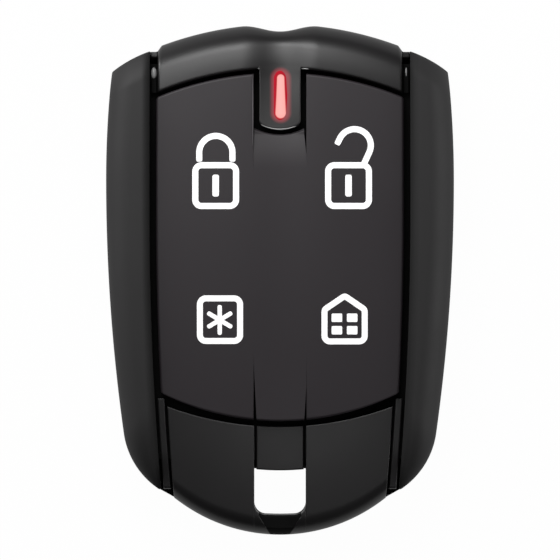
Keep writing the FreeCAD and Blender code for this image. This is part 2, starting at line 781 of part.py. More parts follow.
def cover_rooms():
    """Hollows under the arch and to both sides of the key-ring slot, open towards the back."""
    arch_reach = arch_side_x(RAIL_TOP_Y) - COVER_WALL
    chin_reach = chin_side_x(CORNER_START_Y) - COVER_WALL - SKIRT_WALL
    arch_room = loft(arch_section, stations(DIP_HALF, 3, [arch_reach]), COVER_WALL, SKIRT_FOOT_Z)
    chin_room = loft(chin_section, spaced(-chin_reach, chin_reach, 5), COVER_WALL, SKIRT_FOOT_Z)
    return [arch_room, chin_room.cut(chin_middle(SLOT_WALL))]


def channel_height(x, y):
    return crown(x, y) - BELOW_PAD - CHANNEL_DEPTH


def channel():
    """Recess from the keypad down to the key-ring slot."""
    limits = (SLOT_TOP_Y - BEYOND, CHIN_EDGE_Y + BEYOND)
    room = box((-CHANNEL_HALF, CHANNEL_HALF), limits, (PARTING_Z, ABOVE_ALL))
    return room.cut(slab(channel_height, (-HALF_WIDTH, HALF_WIDTH), (CHIN_END_Y, 0), 5, 9))


def scoop():
    """Tapered dent in the bar below the key-ring slot."""
    right = [(SCOOP_HALF, SLOT_BOTTOM_Y + BEYOND), (SCOOP_HALF, SLOT_BOTTOM_Y), (SCOOP_END_HALF, CHIN_END_Y)]
    spots = [point(spot) for spot in right] + [point((-x, y)) for x, y in reversed(right)]
    floor = crown(0, SLOT_BOTTOM_Y) - BELOW_PAD - SCOOP_DEPTH
    return prism(Part.makePolygon(spots + spots[:1]), floor, ABOVE_ALL)


def arch_corners():
    """Wedges that cut off the arch's two outer corners."""
    top, side = arch_end(ARCH_CORNER)
    beyond = Vector(side.x + BEYOND, top.y + BEYOND, 0)
    across = (top - side).normalize() * BEYOND
    corners = [side - across, beyond, top + across, side - across]
    wedge = prism(Part.makePolygon(corners), 0, ABOVE_ALL)
    return [wedge, mirrored(wedge)]


def peg_spots():
    """Where the right rail's pegs pass through the plate."""
    return [(rail_inner_x(y) + PEG_IN, y) for y in PEG_YS]


def front_cover():
    """Arch, island, chin and the plate that the keypad lies on, moulded in one piece."""
    reach = RAIL_INNER_X
    arch_reach = arch_side_x(RAIL_TOP_Y)
    sides = spaced(DIP_HALF, arch_reach - ARCH_CORNER, 4)[1:] + [arch_reach]
    arch = without(loft(arch_section, stations(DIP_HALF, 7, sides), 0, PARTING_Z), arch_corners())
    chin = loft(chin_section, stations(SLOT_HALF, 3, spaced(SLOT_HALF, reach, 5)[1:]), 0, PARTING_Z)
    chin = chin.common(chin_trim())
    tray = core(SKIRT_IN, SKIRT_FOOT_Z, PLATE_TOP_Z).cut(core(SKIRT_IN + SKIRT_WALL, SKIRT_FOOT_Z, PLATE_BOTTOM_Z))
    post = rod(0, SCREW_Y, PARTING_Z, PLATE_TOP_Z, BOSS_RADIUS)
    cover = joined([tray, arch, chin, island(), post] + groove_floors())

    window = stadium(WINDOW_Y, WINDOW_HALF + WINDOW_CLEAR, WINDOW_LENGTH + 2 * WINDOW_CLEAR, PARTING_Z, ABOVE_ALL)
    seat = window_plate(WINDOW_CLEAR, PARTING_Z)
    screw_hole = rod(0, SCREW_Y, PARTING_Z, HEAD_SEAT_Z + SCREW_LENGTH + SCREW_CLEAR, SCREW_RADIUS + SCREW_GRIP)
    lip_room = slot_prism(SLOT_WALL + SKIRT_CLEAR, SKIRT_FOOT_Z, PARTING_Z)
    side = NUB_SIDE + 2 * NUB_CLEAR
    holes = [square(x, y, side, PLATE_BOTTOM_Z, PLATE_TOP_Z) for x, y in KEY_SPOTS.values()]
    for x, y in peg_spots():
        hole = square(x, y, PEG_SIDE + 2 * PEG_CLEAR, PLATE_BOTTOM_Z, PLATE_TOP_Z)
        holes += [hole, mirrored(hole)]
    cuts = cover_rooms() + [channel(), scoop(), slot_prism(0, 0, ABOVE_ALL), window, seat, screw_hole, lip_room]
    return without(cover, cuts + holes)


def side_rail():
    """Right-hand rail: a hollow moulding whose inner wall stands on the plate and outer wall on the rim."""
    shares = spaced(0.0, 0.12, 3) + spaced(0.12, 0.8, 4)[1:] + spaced(0.8, 1.0, 11)[1:]
    full = loft(rail_section, shares, 0, PARTING_Z)
    wide = [share for share in shares if math.dist(*rail_ends(share)) > 3 * RAIL_WALL]
    wide = [share for share in wide if share * (RAIL_TOP_Y - CHIN_END_Y) > RAIL_WALL]
    hollow = loft(rail_section, spaced(wide[0], wide[-1], 5), RAIL_WALL, SKIRT_FOOT_Z)
    seat = core(REAR_WALL, SKIRT_FOOT_Z, PLATE_TOP_Z)
    rail = without(full, [hollow, seat])
    low, high = PLATE_BOTTOM_Z - PEG_PROUD, PLATE_TOP_Z + BEYOND
    pegs = [square(x, y, PEG_SIDE, low, high) for x, y in peg_spots()]
    return joined([rail] + pegs)


def cradle():
    """Low walls that hold the coin cell on three sides; its clip stands on the fourth."""
    reach = CELL_RADIUS + CELL_CLEAR + CRADLE_WALL / 2
    heights = (REAR_FLOOR / 2, REAR_FLOOR + CRADLE_HEIGHT)
    sides = [block(way * reach, CELL_Y, CRADLE_WALL, CRADLE_RUN, *heights) for way in (-1, 1)]
    return sides + [block(0, CELL_Y - reach, CRADLE_RUN, CRADLE_WALL, *heights)]


def pin_spots():
    """The two posts, diagonally opposite, that carry a pin to locate the board."""
    upper, lower = POST_SPOTS
    return [upper, (-lower[0], lower[1])]


def rear_cover():
    """Rounded back: board posts, cradle for the coin cell, screw boss and the key-ring slot's wall."""
    outer = rear_form()
    root = REAR_FLOOR / 2
    boss = rod(0, SCREW_Y, root, PARTING_Z, BOSS_RADIUS)
    posts = [square(x, y, POST_SIDE, root, BOARD_BOTTOM_Z) for x, y in POST_SPOTS]
    posts += [mirrored(post) for post in posts]
    posts += [rod(x, y, root, BOARD_BOTTOM_Z + PIN_HEIGHT, PIN_RADIUS) for x, y in pin_spots()]
    surround = slot_prism(SLOT_WALL, root, PARTING_Z)
    shell = outer.cut(rear_room())
    cover = joined([shell, boss, surround.common(outer)] + cradle() + posts)
    head_room = rod(0, SCREW_Y, 0, HEAD_SEAT_Z, SCREW_HEAD_RADIUS + SCREW_CLEAR)
    shank_room = rod(0, SCREW_Y, 0, PARTING_Z, SCREW_RADIUS + SCREW_CLEAR)
    return without(cover, [head_room, shank_room, slot_prism(0, 0, ABOVE_ALL)])


def case_screw():
    """Thread-forming screw, driven in from the back."""
    tip_z = HEAD_SEAT_Z + SCREW_LENGTH
    profile = [(0, SCREW_SINK), (SCREW_HEAD_RADIUS, SCREW_SINK), (SCREW_HEAD_RADIUS, HEAD_SEAT_Z),
               (SCREW_RADIUS, HEAD_SEAT_Z), (SCREW_RADIUS, tip_z - SCREW_POINT), (SCREW_RADIUS / 2, tip_z), (0, tip_z)]
    floor = SCREW_SINK + CROSS_DEPTH
    arms = [block(0, SCREW_Y, 2 * CROSS_HALF, CROSS_WIDTH, 0, floor)]
    arms.append(block(0, SCREW_Y, CROSS_WIDTH, 2 * CROSS_HALF, 0, floor))
    return without(turned(0, SCREW_Y, profile), arms)


def window_height(x, y):
    return island_height(x, y) + WINDOW_PROUD


def window_plate(clear, low):
    """The window's flange, or with a clearance the seat for it."""
    grow = 2 * (WINDOW_FLANGE + clear)
    return block(0, WINDOW_Y, 2 * WINDOW_HALF + grow, WINDOW_LENGTH + grow, low, PLATE_TOP_Z)


def signal_window():
    """Red light pipe: a long pane in the island, with a flange that stops under the island."""
    pane = stadium(WINDOW_Y, WINDOW_HALF, WINDOW_LENGTH, LAMP_TOP_Z + WINDOW_LAMP_GAP, ABOVE_ALL)
    limits = (WINDOW_Y - WINDOW_LENGTH, WINDOW_Y + WINDOW_LENGTH)
    face = slab(window_height, (-DIP_HALF, DIP_HALF), limits, 9, 11)
    low = PLATE_TOP_Z - WINDOW_FLANGE_THICK
    return joined([pane.common(face), window_plate(0, low)])


def circuit_board():
    """Board cut square at the slot end, with a notch for the screw boss and holes for the locating pins."""
    board = core(BOARD_INSET, BOARD_BOTTOM_Z, BOARD_TOP_Z)
    end_room = box((-HALF_WIDTH, HALF_WIDTH), (CHIN_END_Y, BOARD_END_Y), (0, ABOVE_ALL))
    half = BOSS_RADIUS + BOSS_CLEAR
    notch = box((-half, half), (CHIN_END_Y, SCREW_Y + half), (0, ABOVE_ALL))
    holes = [rod(x, y, 0, ABOVE_ALL, PIN_RADIUS + PIN_CLEAR) for x, y in pin_spots()]
    return without(board, [end_room, notch] + holes)


def antenna_trace():
    """Copper track along the board's edge, open at the signal end and at the slot end."""
    high = BOARD_TOP_Z + TRACE_THICK
    outer = core(BOARD_INSET + TRACE_IN, BOARD_TOP_Z, high)
    loop = outer.cut(core(BOARD_INSET + TRACE_IN + TRACE_WIDTH, BOARD_TOP_Z, high))
    mouth = box((-TRACE_GAP_HALF, TRACE_GAP_HALF), (0, ARCH_TOP_Y), (0, ABOVE_ALL))
    end_room = box((-HALF_WIDTH, HALF_WIDTH), (CHIN_END_Y, SCREW_Y), (0, ABOVE_ALL))
    return Part.makeCompound(without(loop, [mouth, end_room]).Solids)


def switch_base(x, y):
    """Square housing of a tact switch, with the well that its spring lies in."""
    base = block(x, y, SWITCH_SIDE, SWITCH_SIDE, BOARD_TOP_Z, SWITCH_TOP_Z)
    corners = [e for e in base.Edges if e.BoundBox.ZLength > SWITCH_BASE_HEIGHT / 2]
    base = base.makeChamfer(SWITCH_CORNER, corners)
    return base.cut(square(x, y, SWITCH_WELL, WELL_FLOOR_Z, SWITCH_TOP_Z))


def switch_plate(x, y):
    """Sheet-metal plate that keeps the plunger in its switch."""
    top = SWITCH_TOP_Z + SWITCH_PLATE_THICK
    plate = block(x, y, SWITCH_SIDE, SWITCH_SIDE, SWITCH_TOP_Z, top)
    corners = [e for e in plate.Edges if e.BoundBox.ZLength > SWITCH_PLATE_THICK / 2]
    plate = plate.makeChamfer(SWITCH_CORNER, corners)
    return plate.cut(square(x, y, PLUNGER_SIDE + 2 * PLUNGER_CLEAR, SWITCH_TOP_Z, top))


def switch_spring(x, y):
    """Thin sprung leaf in the well, bent up to the plunger and flat in its middle."""
    low, high = WELL_FLOOR_Z, FLANGE_BOTTOM_Z
    foot = SPRING_REACH - 2 * SPRING_THICK
    right = [(SPRING_FLAT, high), (SPRING_REACH, low), (foot, low), (SPRING_FLAT, high - SPRING_THICK)]
    corners = right + [(-across, z) for across, z in reversed(right)]
    spots = [Vector(x + across, y - SPRING_HALF, z) for across, z in corners]
    return Part.Face(Part.makePolygon(spots + spots[:1])).extrude(Vector(0, 2 * SPRING_HALF, 0))


def plunger(x, y):
    """Square stem with a wider square flange that stays in its switch."""
    flange = square(x, y, PLUNGER_FLANGE, FLANGE_BOTTOM_Z, SWITCH_TOP_Z)
    return joined([flange, square(x, y, PLUNGER_SIDE, (FLANGE_BOTTOM_Z + SWITCH_TOP_Z) / 2, PLUNGER_TOP_Z)])


def encoder_chip():
    """Flat chip with bevelled top edges."""
    body = block(0, CHIP_Y_PLACE, CHIP_X, CHIP_Y, BOARD_TOP_Z + PIN_THICK / 2, BOARD_TOP_Z + CHIP_HEIGHT)
    top = [e for e in body.Edges if e.BoundBox.ZMin > BOARD_TOP_Z + CHIP_HEIGHT / 2]
    return body.makeChamfer(CHIP_BEVEL, top)


def encoder_pins():
    """Two rows of bent pins between the chip and the board."""
    start = CHIP_X / 2
    riser = start + PIN_REACH - PIN_FOOT
    low, high = BOARD_TOP_Z, BOARD_TOP_Z + PIN_SHOULDER
    corners = [(start, high), (start, high + PIN_THICK), (riser, high + PIN_THICK), (riser, low + PIN_THICK),
               (riser + PIN_FOOT, low + PIN_THICK), (riser + PIN_FOOT, low), (riser - PIN_THICK, low),
               (riser - PIN_THICK, high)]
    spots = [Vector(x, 0, z) for x, z in corners]
    profile = Part.Face(Part.makePolygon(spots + spots[:1]))
    pins = []
    for i in range(PIN_COUNT):
        pin = profile.extrude(Vector(0, PIN_WIDTH, 0))
        offset = PIN_PITCH * (i - (PIN_COUNT - 1) / 2)
        pin.translate(Vector(0, CHIP_Y_PLACE + offset - PIN_WIDTH / 2, 0))
        pins += [pin, mirrored(pin)]
    return Part.makeCompound(pins)


def resonator():
    """Round metal can of the radio stage."""
    return rod(0, RESONATOR_Y, BOARD_TOP_Z, BOARD_TOP_Z + RESONATOR_HEIGHT, RESONATOR_RADIUS)


def passive_spots(x):
    """Row of small parts along the board, one pitch apart."""
    return [(x, PASSIVE_START_Y + i * PASSIVE_PITCH) for i in range(PASSIVE_COUNT)]


def passive_bodies(x):
    length = PASSIVE_LENGTH - 2 * PASSIVE_CAP
    top = BOARD_TOP_Z + PASSIVE_HEIGHT
    return Part.makeCompound([block(*spot, length, PASSIVE_WIDTH, BOARD_TOP_Z, top) for spot in passive_spots(x)])


def passive_caps():
    """Metal ends of all the small parts."""
    reach = (PASSIVE_LENGTH - PASSIVE_CAP) / 2
    top = BOARD_TOP_Z + PASSIVE_HEIGHT
    caps = []
    for x, y in passive_spots(RESISTOR_X) + passive_spots(CAPACITOR_X):
        caps += [block(x + side * reach, y, PASSIVE_CAP, PASSIVE_WIDTH, BOARD_TOP_Z, top) for side in (-1, 1)]
    return Part.makeCompound(caps)


def lamp_body():
    return block(0, WINDOW_Y, LAMP_X, LAMP_Y, BOARD_TOP_Z, BOARD_TOP_Z + LAMP_HEIGHT)


def lamp_lens():
    return rod(0, WINDOW_Y, BOARD_TOP_Z + LAMP_HEIGHT, LAMP_TOP_Z, LAMP_LENS_RADIUS)


def cell_can():
    return rod(0, CELL_Y, CELL_BOTTOM_Z, CELL_TOP_Z - CELL_CAP_PROUD, CELL_RADIUS)


def cell_cap():
    """Coin cell's negative cap, proud of the can."""
    return rod(0, CELL_Y, CELL_TOP_Z - CELL_CAP_PROUD, CELL_TOP_Z, CELL_CAP_RADIUS)


def cell_clip():
    """Bent strip under the coin cell that comes up beside it to the board."""
    leg = CELL_Y + CELL_RADIUS + CELL_CLEAR / 2
    outer = leg + CLIP_THICK
    foot = outer + CLIP_FOOT
    start = CELL_Y - CLIP_START
    floor, top = REAR_FLOOR, BOARD_BOTTOM_Z
    corners = [(start, floor), (outer, floor), (outer, top - CLIP_THICK), (foot, top - CLIP_THICK), (foot, top),
               (leg, top), (leg, floor + CLIP_THICK), (start, floor + CLIP_THICK)]
    spots = [Vector(-CLIP_HALF, y, z) for y, z in corners]
    return Part.Face(Part.makePolygon(spots + spots[:1])).extrude(Vector(2 * CLIP_HALF, 0, 0))


def cell_leaf():
    """Contact between the coin cell's cap and the board."""
    return block(0, CELL_Y, LEAF_WIDTH, LEAF_LENGTH, CELL_TOP_Z, BOARD_BOTTOM_Z)


def parts():
    right_rail = side_rail()
    made = {
        "front_cover": front_cover(),
        "side_rail_left": mirrored(right_rail),
        "side_rail_right": right_rail,
        "rear_cover": rear_cover(),
        "case_screw": case_screw(),
        "signal_window": signal_window(),
        "keypad_mat": keypad_mat(),
        "circuit_board": circuit_board(),
        "antenna_trace": antenna_trace(),
        "encoder_chip": encoder_chip(),
        "encoder_pins": encoder_pins(),
        "resonator": resonator(),
        "chip_resistors": passive_bodies(RESISTOR_X),
        "chip_capacitors": passive_bodies(CAPACITOR_X),
        "chip_end_caps": passive_caps(),
        "lamp_body": lamp_body(),
        "lamp_lens": lamp_lens(),
        "coin_cell_can": cell_can(),
        "coin_cell_cap": cell_cap(),
        "cell_clip": cell_clip(),
        "cell_leaf": cell_leaf(),
    }
    for name, spot in KEY_SPOTS.items():
        made["key_" + name] = key(name)
        made["plunger_" + name] = plunger(*spot)
        made["spring_" + name] = switch_spring(*spot)
        made["switch_base_" + name] = switch_base(*spot)
        made["switch_plate_" + name] = switch_plate(*spot)
    return made


os.makedirs("parts", exist_ok=True)
for node, shape in parts().items():
    shape.exportStep("parts/" + node + ".step")
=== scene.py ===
"""Looks of the car alarm remote: black moulded case, rubber keypad with white signs, and a lit red window.

Lengths in the formulas are millimetres in the row frame, and meshes are made in metres.  The remote lies on
its back and is seen straight from above, with the arched end at the top of the picture.
"""

import json
import math
import bmesh
import bpy
import numpy as np
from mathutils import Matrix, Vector


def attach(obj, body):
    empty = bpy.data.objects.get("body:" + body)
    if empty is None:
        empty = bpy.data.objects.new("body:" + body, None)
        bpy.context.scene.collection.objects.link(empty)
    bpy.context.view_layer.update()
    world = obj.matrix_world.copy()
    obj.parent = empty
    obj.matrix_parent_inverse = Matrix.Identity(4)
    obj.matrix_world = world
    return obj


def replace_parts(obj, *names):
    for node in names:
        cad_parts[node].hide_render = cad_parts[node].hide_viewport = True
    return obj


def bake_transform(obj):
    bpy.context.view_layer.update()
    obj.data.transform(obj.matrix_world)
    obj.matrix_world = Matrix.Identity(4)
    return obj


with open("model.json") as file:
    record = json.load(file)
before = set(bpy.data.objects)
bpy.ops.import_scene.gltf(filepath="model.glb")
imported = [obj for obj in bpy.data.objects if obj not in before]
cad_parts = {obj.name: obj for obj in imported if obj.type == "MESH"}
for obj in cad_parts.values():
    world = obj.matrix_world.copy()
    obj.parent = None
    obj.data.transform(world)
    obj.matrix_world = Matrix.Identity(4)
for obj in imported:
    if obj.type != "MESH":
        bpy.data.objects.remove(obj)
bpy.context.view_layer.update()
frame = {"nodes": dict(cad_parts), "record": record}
MM = 0.001
scene = bpy.context.scene

# The case, as the part has it
HALF_WIDTH = 20.5
WIDEST_Y = 12.0
SIDE_RADIUS_UP = 120.0
SIDE_RADIUS_DOWN = 218.0
CORNER_START_Y = -18.0
CORNER_RADIUS = 9.5
ARCH_TOP_Y = 30.24
ARCH_RADIUS = 40.0
DIP_HALF = 4.6
DIP_DEPTH = 0.87
CHIN_END_Y = -30.0
CHIN_RADIUS = 20.0
PARTING_Z = 6.0
FACE_Z = 12.9
CROWN_Y = 4.0
CROWN_RADIUS_X = 160.0
CROWN_RADIUS_Y = 220.0
REAR_ROLL_IN = 4.0
REAR_ROLL_UP = 4.8
REAR_WALL = 0.6
REAR_LEDGE_Z = 1.2
REAR_STILL_X = 5.0
REAR_DRAWN_X = 12.0
PLATE_TOP_Z = 9.3
PLATE_BOTTOM_Z = 8.3

# Side rails
RAIL_TOP_Y = 27.0
RAIL_CORNER_Y = 24.6
RAIL_TOP_BULGE = 0.18
RAIL_TIP_WIDTH = 0.25
RAIL_INNER_X = 15.35
RAIL_INNER_START_Y = 8.0
RAIL_INNER_RADIUS = 400.0
RAIL_CREST_Z = 13.15
RAIL_CREST_RADIUS = 30.0
RAIL_CREST_SLOPE = 5.0
RAIL_CREST_MIN = 0.3
RAIL_INNER_ROUND = 0.8
# How far the painted shade reaches across a rail from its inner edge
RAIL_SHADE = 1.0
RAIL_SHOULDER = 3.8
RAIL_TOP_DROP = 1.8
RAIL_TOP_RUN = 3.0
RAIL_END_DROP = 2.7
RAIL_END_RUN = 10.0
RAIL_TOP_ROUND = 0.45

# Front cover
COVER_EDGE_ROUND = 0.3
ABOVE_PARTING = 0.02
ARCH_PAD_GAP = 0.48
ARCH_SHOULDER = 3.8
ARCH_CREST_RADIUS = 14.0
ARCH_TROUGH = 0.5
TROUGH_SHARPER = 0.35
ARCH_GROOVE = 0.95
ARCH_CLIP = 0.45
ARCH_HALF = RAIL_INNER_X - ARCH_GROOVE
CHIN_EDGE_Y = -17.2
CHIN_EDGE_RADIUS = 38.0
CHIN_SHOULDER = 2.6
CHIN_CREST_RADIUS = 150.0
CHIN_GROOVE = 1.45
CHIN_REACH = 13.0
CHIN_SIDE_ROUND = 0.08
BELOW_PAD = 0.4
GROOVE_DEPTH = 0.9
GROOVE_ROUND = 0.12
GROOVE_START_Y = 22.1
GROOVE_FLOOR_Y = 25.2
GROOVE_FLOOR_ROUND = 0.9
GROOVE_END_Y = 26.2
GROOVE_END_DROP = 1.9
GROOVE_FALL_Y = -20.0
GROOVE_FALL_RUN = 4.6
BED_TOP_Y = -13.9
BED_DEPTH = 0.9
BED_FALL = 2.3
STRIP_WIDTH = 0.85
STRIP_LIFT = 0.45
STRIP_FALL = 0.3
RAIL_CLEAR = 0.05
ISLAND_HALF = 2.42
ISLAND_END_Y = 17.65
ISLAND_END_RADIUS = 4.8
ISLAND_BELOW = 0.12
ISLAND_CORNER = 0.45
ISLAND_SIDE_ROUND = 0.1
ISLAND_OVERLAP = 0.6
SEAM_RISE = 0.04
SEAM_RUN = 1.5
SEAM_BLUR = 0.5
CHANNEL_DEPTH = 0.75
CHANNEL_TOP_ROUND = 0.1
CHANNEL_LIP_ROUND = 0.15
CHANNEL_SIDE_ROUND = 0.12
CHIN_EDGE_ROUND = 0.07
SLOT_HALF = 3.05
SLOT_TOP_Y = -22.2
SLOT_BOTTOM_Y = -27.7
SLOT_CORNER = 1.3
SLOT_TOP_BOW = 0.16
SLOT_BOTTOM_BOW = 0.12
SLOT_SIDE_ROUND = 0.06
SLOT_BAR_ROUND = 0.2
CHANNEL_GAP = 0.26
SCOOP_HALF = 2.5
SCOOP_END_HALF = 1.1
SCOOP_DEPTH = 0.8

# Keypad
PAD_RAIL_GAP = 0.77
PAD_TOP_Y = 24.44
PAD_TOP_RADIUS = 38.0
PAD_BOTTOM_Y = -16.55
PAD_BOTTOM_RADIUS = 32.5
PAD_MIDDLE_Y = 3.5
PAD_CORNER = 0.35
PAD_ROUND = 0.3
PAD_HOLLOW = 0.15
PAD_HOLLOW_SPREAD = 3.4
PAD_FOOT_Z = 9.8
SPINE_HALF = 3.1
SPINE_TOP_Y = 17.2
SPINE_TOP_RADIUS = 7.2
SPINE_TOP_STEP = 0.4
SPINE_BOTTOM_RISE = 0.16
SPINE_END_ROUND = 0.25
SPINE_TOP_RUN = 4.0
SPINE_BOTTOM_RUN = 8.0
SLIT_WIDTH = 0.26
SLIT_WIDTH_TOP_LEFT = 0.09
SLIT_WIDTH_BOTTOM_LEFT = 0.36
SLIT_TOP_RUN = 2.4
SLIT_BOTTOM_RUN = 4.2
SLIT_BOTTOM_LEFT_RUN = 7.0
KEY_INNER_ROUND = 0.06
LOCK_INNER_ROUND = 0.24
INK_LIFT = 0.025

# Signal window
WINDOW_HALF = 0.85
WINDOW_LENGTH = 5.8
WINDOW_Y = 21.77
WINDOW_PROUD = 0.1
WINDOW_DOME = 0.1
WINDOW_TAPER = 0.3
WINDOW_FOOT_Z = 8.7
WINDOW_SHIFT = 0.08

# Beads of painted highlight
BEAD = 0.08
BEAD_SIDES = 20

# Signs: a pixel's size, the pixel at the row frame's origin, then places and sizes in the photograph's pixels
PIXEL = 0.1174
PIXEL_X = 280.0
PIXEL_Y = 280.5
STROKE = 6.1
THIN_STROKE = 6.0
PADLOCK_WIDTH = 46.9
PADLOCK_TOP, PADLOCK_BOTTOM, PADLOCK_CORNER = 162.1, 209.0, 6.2
KEYHOLE_TOP, KEYHOLE_BOTTOM, KEYHOLE_HALF = 174.6, 196.5, 3.3
CLOSED_LEFT, CLOSED_CENTRE, CLOSED_RADIUS = 192.2, (215.8, 152.4), 16.6
CLOSED_FEET = (199.2, 161.6), (232.4, 161.6)
OPEN_LEFT, OPEN_CENTRE, OPEN_RADIUS = 325.1, (354.6, 145.3), 16.25
OPEN_ENDS = (336.8, 144.6), (363.3, 165.3)
STAR_BOX = (199.85, 240.05, 298.35, 341.0)
STAR_MIDDLE, STAR_STROKE = (219.7, 319.95), 4.4
HOUSE_LEFT, HOUSE_RIGHT, HOUSE_EAVES, HOUSE_BOTTOM = 324.5, 364.75, 309.6, 341.4
HOUSE_ROOF = (344.7, 295.9)
PANE_LEFTS, PANE_TOPS = (331.6, 346.9), (313.5, 326.0)
PANE_WIDTH, PANE_HEIGHT = 10.6, 8.5

# Finishes: sizes of the noise, the case's colour, and the share of the floor's white that the case mirrors
FINE_GRAIN = 4000.0
SOFT_GRAIN = 3000.0
CASE_BLACK = (0.0118, 0.0112, 0.0117)
MIRRORED_FLOOR = 0.5


def limited(value):
    return np.clip(value, 0.0, 1.0)


def stacked(*axes):
    """Points from one array for each axis."""
    return np.stack(axes, axis=-1)


def between(start, end, share):
    """Straight run: start at share 0, end at share 1."""
    return start + share * (end - start)


def unit(vectors):
    return vectors / np.linalg.norm(vectors, axis=-1, keepdims=True)


def sag(offset, radius):
    """Drop of a circle from its top, at an offset to one side."""
    return radius - np.sqrt(radius * radius - offset * offset)


def edge_drop(distance, radius):
    """Quarter round along an edge: how far a face drops at a distance inside the edge."""
    return sag(np.clip(radius - distance, 0.0, radius), radius)


def crown(x, y):
    """The front's double curve: an arc across plus an arc along."""
    return FACE_Z - sag(x, CROWN_RADIUS_X) - sag(y - CROWN_Y, CROWN_RADIUS_Y)


def dip(x):
    """Share of the centre dip at x: a cosine squared, 1 in the middle and 0 at its edges."""
    return np.cos(np.pi / 2 * np.minimum(np.abs(x) / DIP_HALF, 1.0)) ** 2


def pad_height(x, y):
    """The crown less a bell-shaped hollow along the middle."""
    return crown(x, y) - PAD_HOLLOW * np.exp(-((x / PAD_HOLLOW_SPREAD) ** 2))


def pad_top_y(x):
    return PAD_TOP_Y - sag(x, PAD_TOP_RADIUS)


def pad_bottom_y(x):
    return PAD_BOTTOM_Y + sag(x, PAD_BOTTOM_RADIUS)


def arch_outer_y(x):
    return ARCH_TOP_Y - sag(x, ARCH_RADIUS) - DIP_DEPTH * dip(x)


def arch_inner_y(x):
    return pad_top_y(x) + ARCH_PAD_GAP


def chin_outer_y(x):
    return CHIN_END_Y + sag(x, CHIN_RADIUS)


def chin_inner_y(x):
    return CHIN_EDGE_Y + sag(x, CHIN_EDGE_RADIUS)


def side_x(y):
    """Outer edge of a rail above its lower corner: two arcs that meet at the widest point."""
    offset = y - WIDEST_Y
    return HALF_WIDTH - sag(offset, np.where(offset > 0, SIDE_RADIUS_UP, SIDE_RADIUS_DOWN))


def rail_inner_x(y):
    """Inner edge of a rail: straight above its start, an arc below it."""
    return RAIL_INNER_X - sag(np.minimum(y - RAIL_INNER_START_Y, 0.0), RAIL_INNER_RADIUS)


def pad_side_x(y):
    return rail_inner_x(y) - PAD_RAIL_GAP


def chin_side_x(y):
    return rail_inner_x(y) - CHIN_GROOVE


def corner_circle():
    """Centre of the lower corner's arc, tangent to the side, and the angle where it starts."""
    lean = math.asin((WIDEST_Y - CORNER_START_Y) / SIDE_RADIUS_DOWN)
    x = side_x(CORNER_START_Y) - CORNER_RADIUS * math.cos(lean)
    return x, CORNER_START_Y + CORNER_RADIUS * math.sin(lean), -lean


def corner_end_angle():
    """Angle on the lower corner's arc where the rail has narrowed to its tip, found by halving."""
    x, y, wide = corner_circle()
    narrow = -math.pi / 2
    while wide - narrow > 1e-7:
        angle = (wide + narrow) / 2
        width = x + CORNER_RADIUS * math.cos(angle) - rail_inner_x(y + CORNER_RADIUS * math.sin(angle))
        wide, narrow = (angle, narrow) if width > RAIL_TIP_WIDTH else (wide, angle)
    return wide


CORNER_X, CORNER_Y, CORNER_FROM = corner_circle()
CORNER_TO = corner_end_angle()
TIP_Y = CORNER_Y + CORNER_RADIUS * math.sin(CORNER_TO)


def corner_point(share):
    """Point on the lower corner's arc: share 0 at the side, 1 at the rail's tip."""
    angle = between(CORNER_FROM, CORNER_TO, share)
    return CORNER_X + CORNER_RADIUS * np.cos(angle), CORNER_Y + CORNER_RADIUS * np.sin(angle)


def roll_height(across, width, top_z, slope, inner_round, crest, shoulder):
    """Height of a rolled strip: a small arc at its inner edge, a flat crest arc, then a deep shoulder arc.

    Each arc is centre height plus the root of its radius squared less the offset squared, and starts where
    the one before it ends, with the same tangent.
    """
    lead = np.sin(slope)
    first = inner_round * (1 + lead)
    fall = (width - first + crest * lead - shoulder) / (crest - shoulder)
    second = first + crest * (fall - lead)
    base = top_z - inner_round
    crest_start = base + inner_round * np.cos(slope)
    end_cosine = np.sqrt(1 - fall ** 2)
    crest_end = crest_start - crest * (np.cos(slope) - end_cosine)

    def arc(offset):
        return np.sqrt(1 - np.clip(offset, -1.0, 1.0) ** 2)

    inner = base + inner_round * arc(across / inner_round - 1)
    middle = crest_start - crest * (np.cos(slope) - arc((across - first) / crest + lead))
    outer = crest_end - shoulder * (end_cosine - arc((across - second) / shoulder + fall))
    return np.where(across < first, inner, np.where(across < second, middle, outer))


def arch_height(x, y):
    """The arch's roll, without the rounded inner edge where the island runs into it."""
    inner = arch_inner_y(x)
    width = arch_outer_y(x) - inner
    slope = np.arcsin((inner - CROWN_Y) / CROWN_RADIUS_Y)
    fit = np.minimum(width / (COVER_EDGE_ROUND + RAIL_CREST_MIN + ARCH_SHOULDER), 1.0)
    top_z = crown(x, inner) - ARCH_TROUGH * dip(x)
    across = y - inner
    least = np.where(np.abs(x) < ISLAND_HALF, COVER_EDGE_ROUND * fit * (1 + np.sin(slope)), 0.0)
    shoulder = ARCH_SHOULDER * fit * (1 - TROUGH_SHARPER * dip(x))
    z = roll_height(np.maximum(across, least), width, top_z, slope, COVER_EDGE_ROUND * fit, ARCH_CREST_RADIUS,
                    shoulder)
    return z + np.maximum(least - across, 0.0) * np.tan(slope)


def chin_height(x, y):
    """The chin's roll, from its inner edge at the channel to the outline, a little below the crown."""
    inner = chin_inner_y(x)
    slope = np.arcsin((CROWN_Y - inner) / CROWN_RADIUS_Y)
    return roll_height(inner - y, inner - chin_outer_y(x), crown(x, inner) - BELOW_PAD, slope, CHIN_EDGE_ROUND,
                       CHIN_CREST_RADIUS, CHIN_SHOULDER)


def even(count, start=0.0, end=1.0):
    return np.linspace(start, end, count)


def spread(count, start=0.0, end=1.0):
    """Numbers from start to end, closer together at both ends like a cosine."""
    shares = (1 - np.cos(even(count, 0.0, np.pi))) / 2
    return between(start, end, shares)


def mesh_grid(rows, columns):
    return np.meshgrid(rows, columns, indexing="ij")


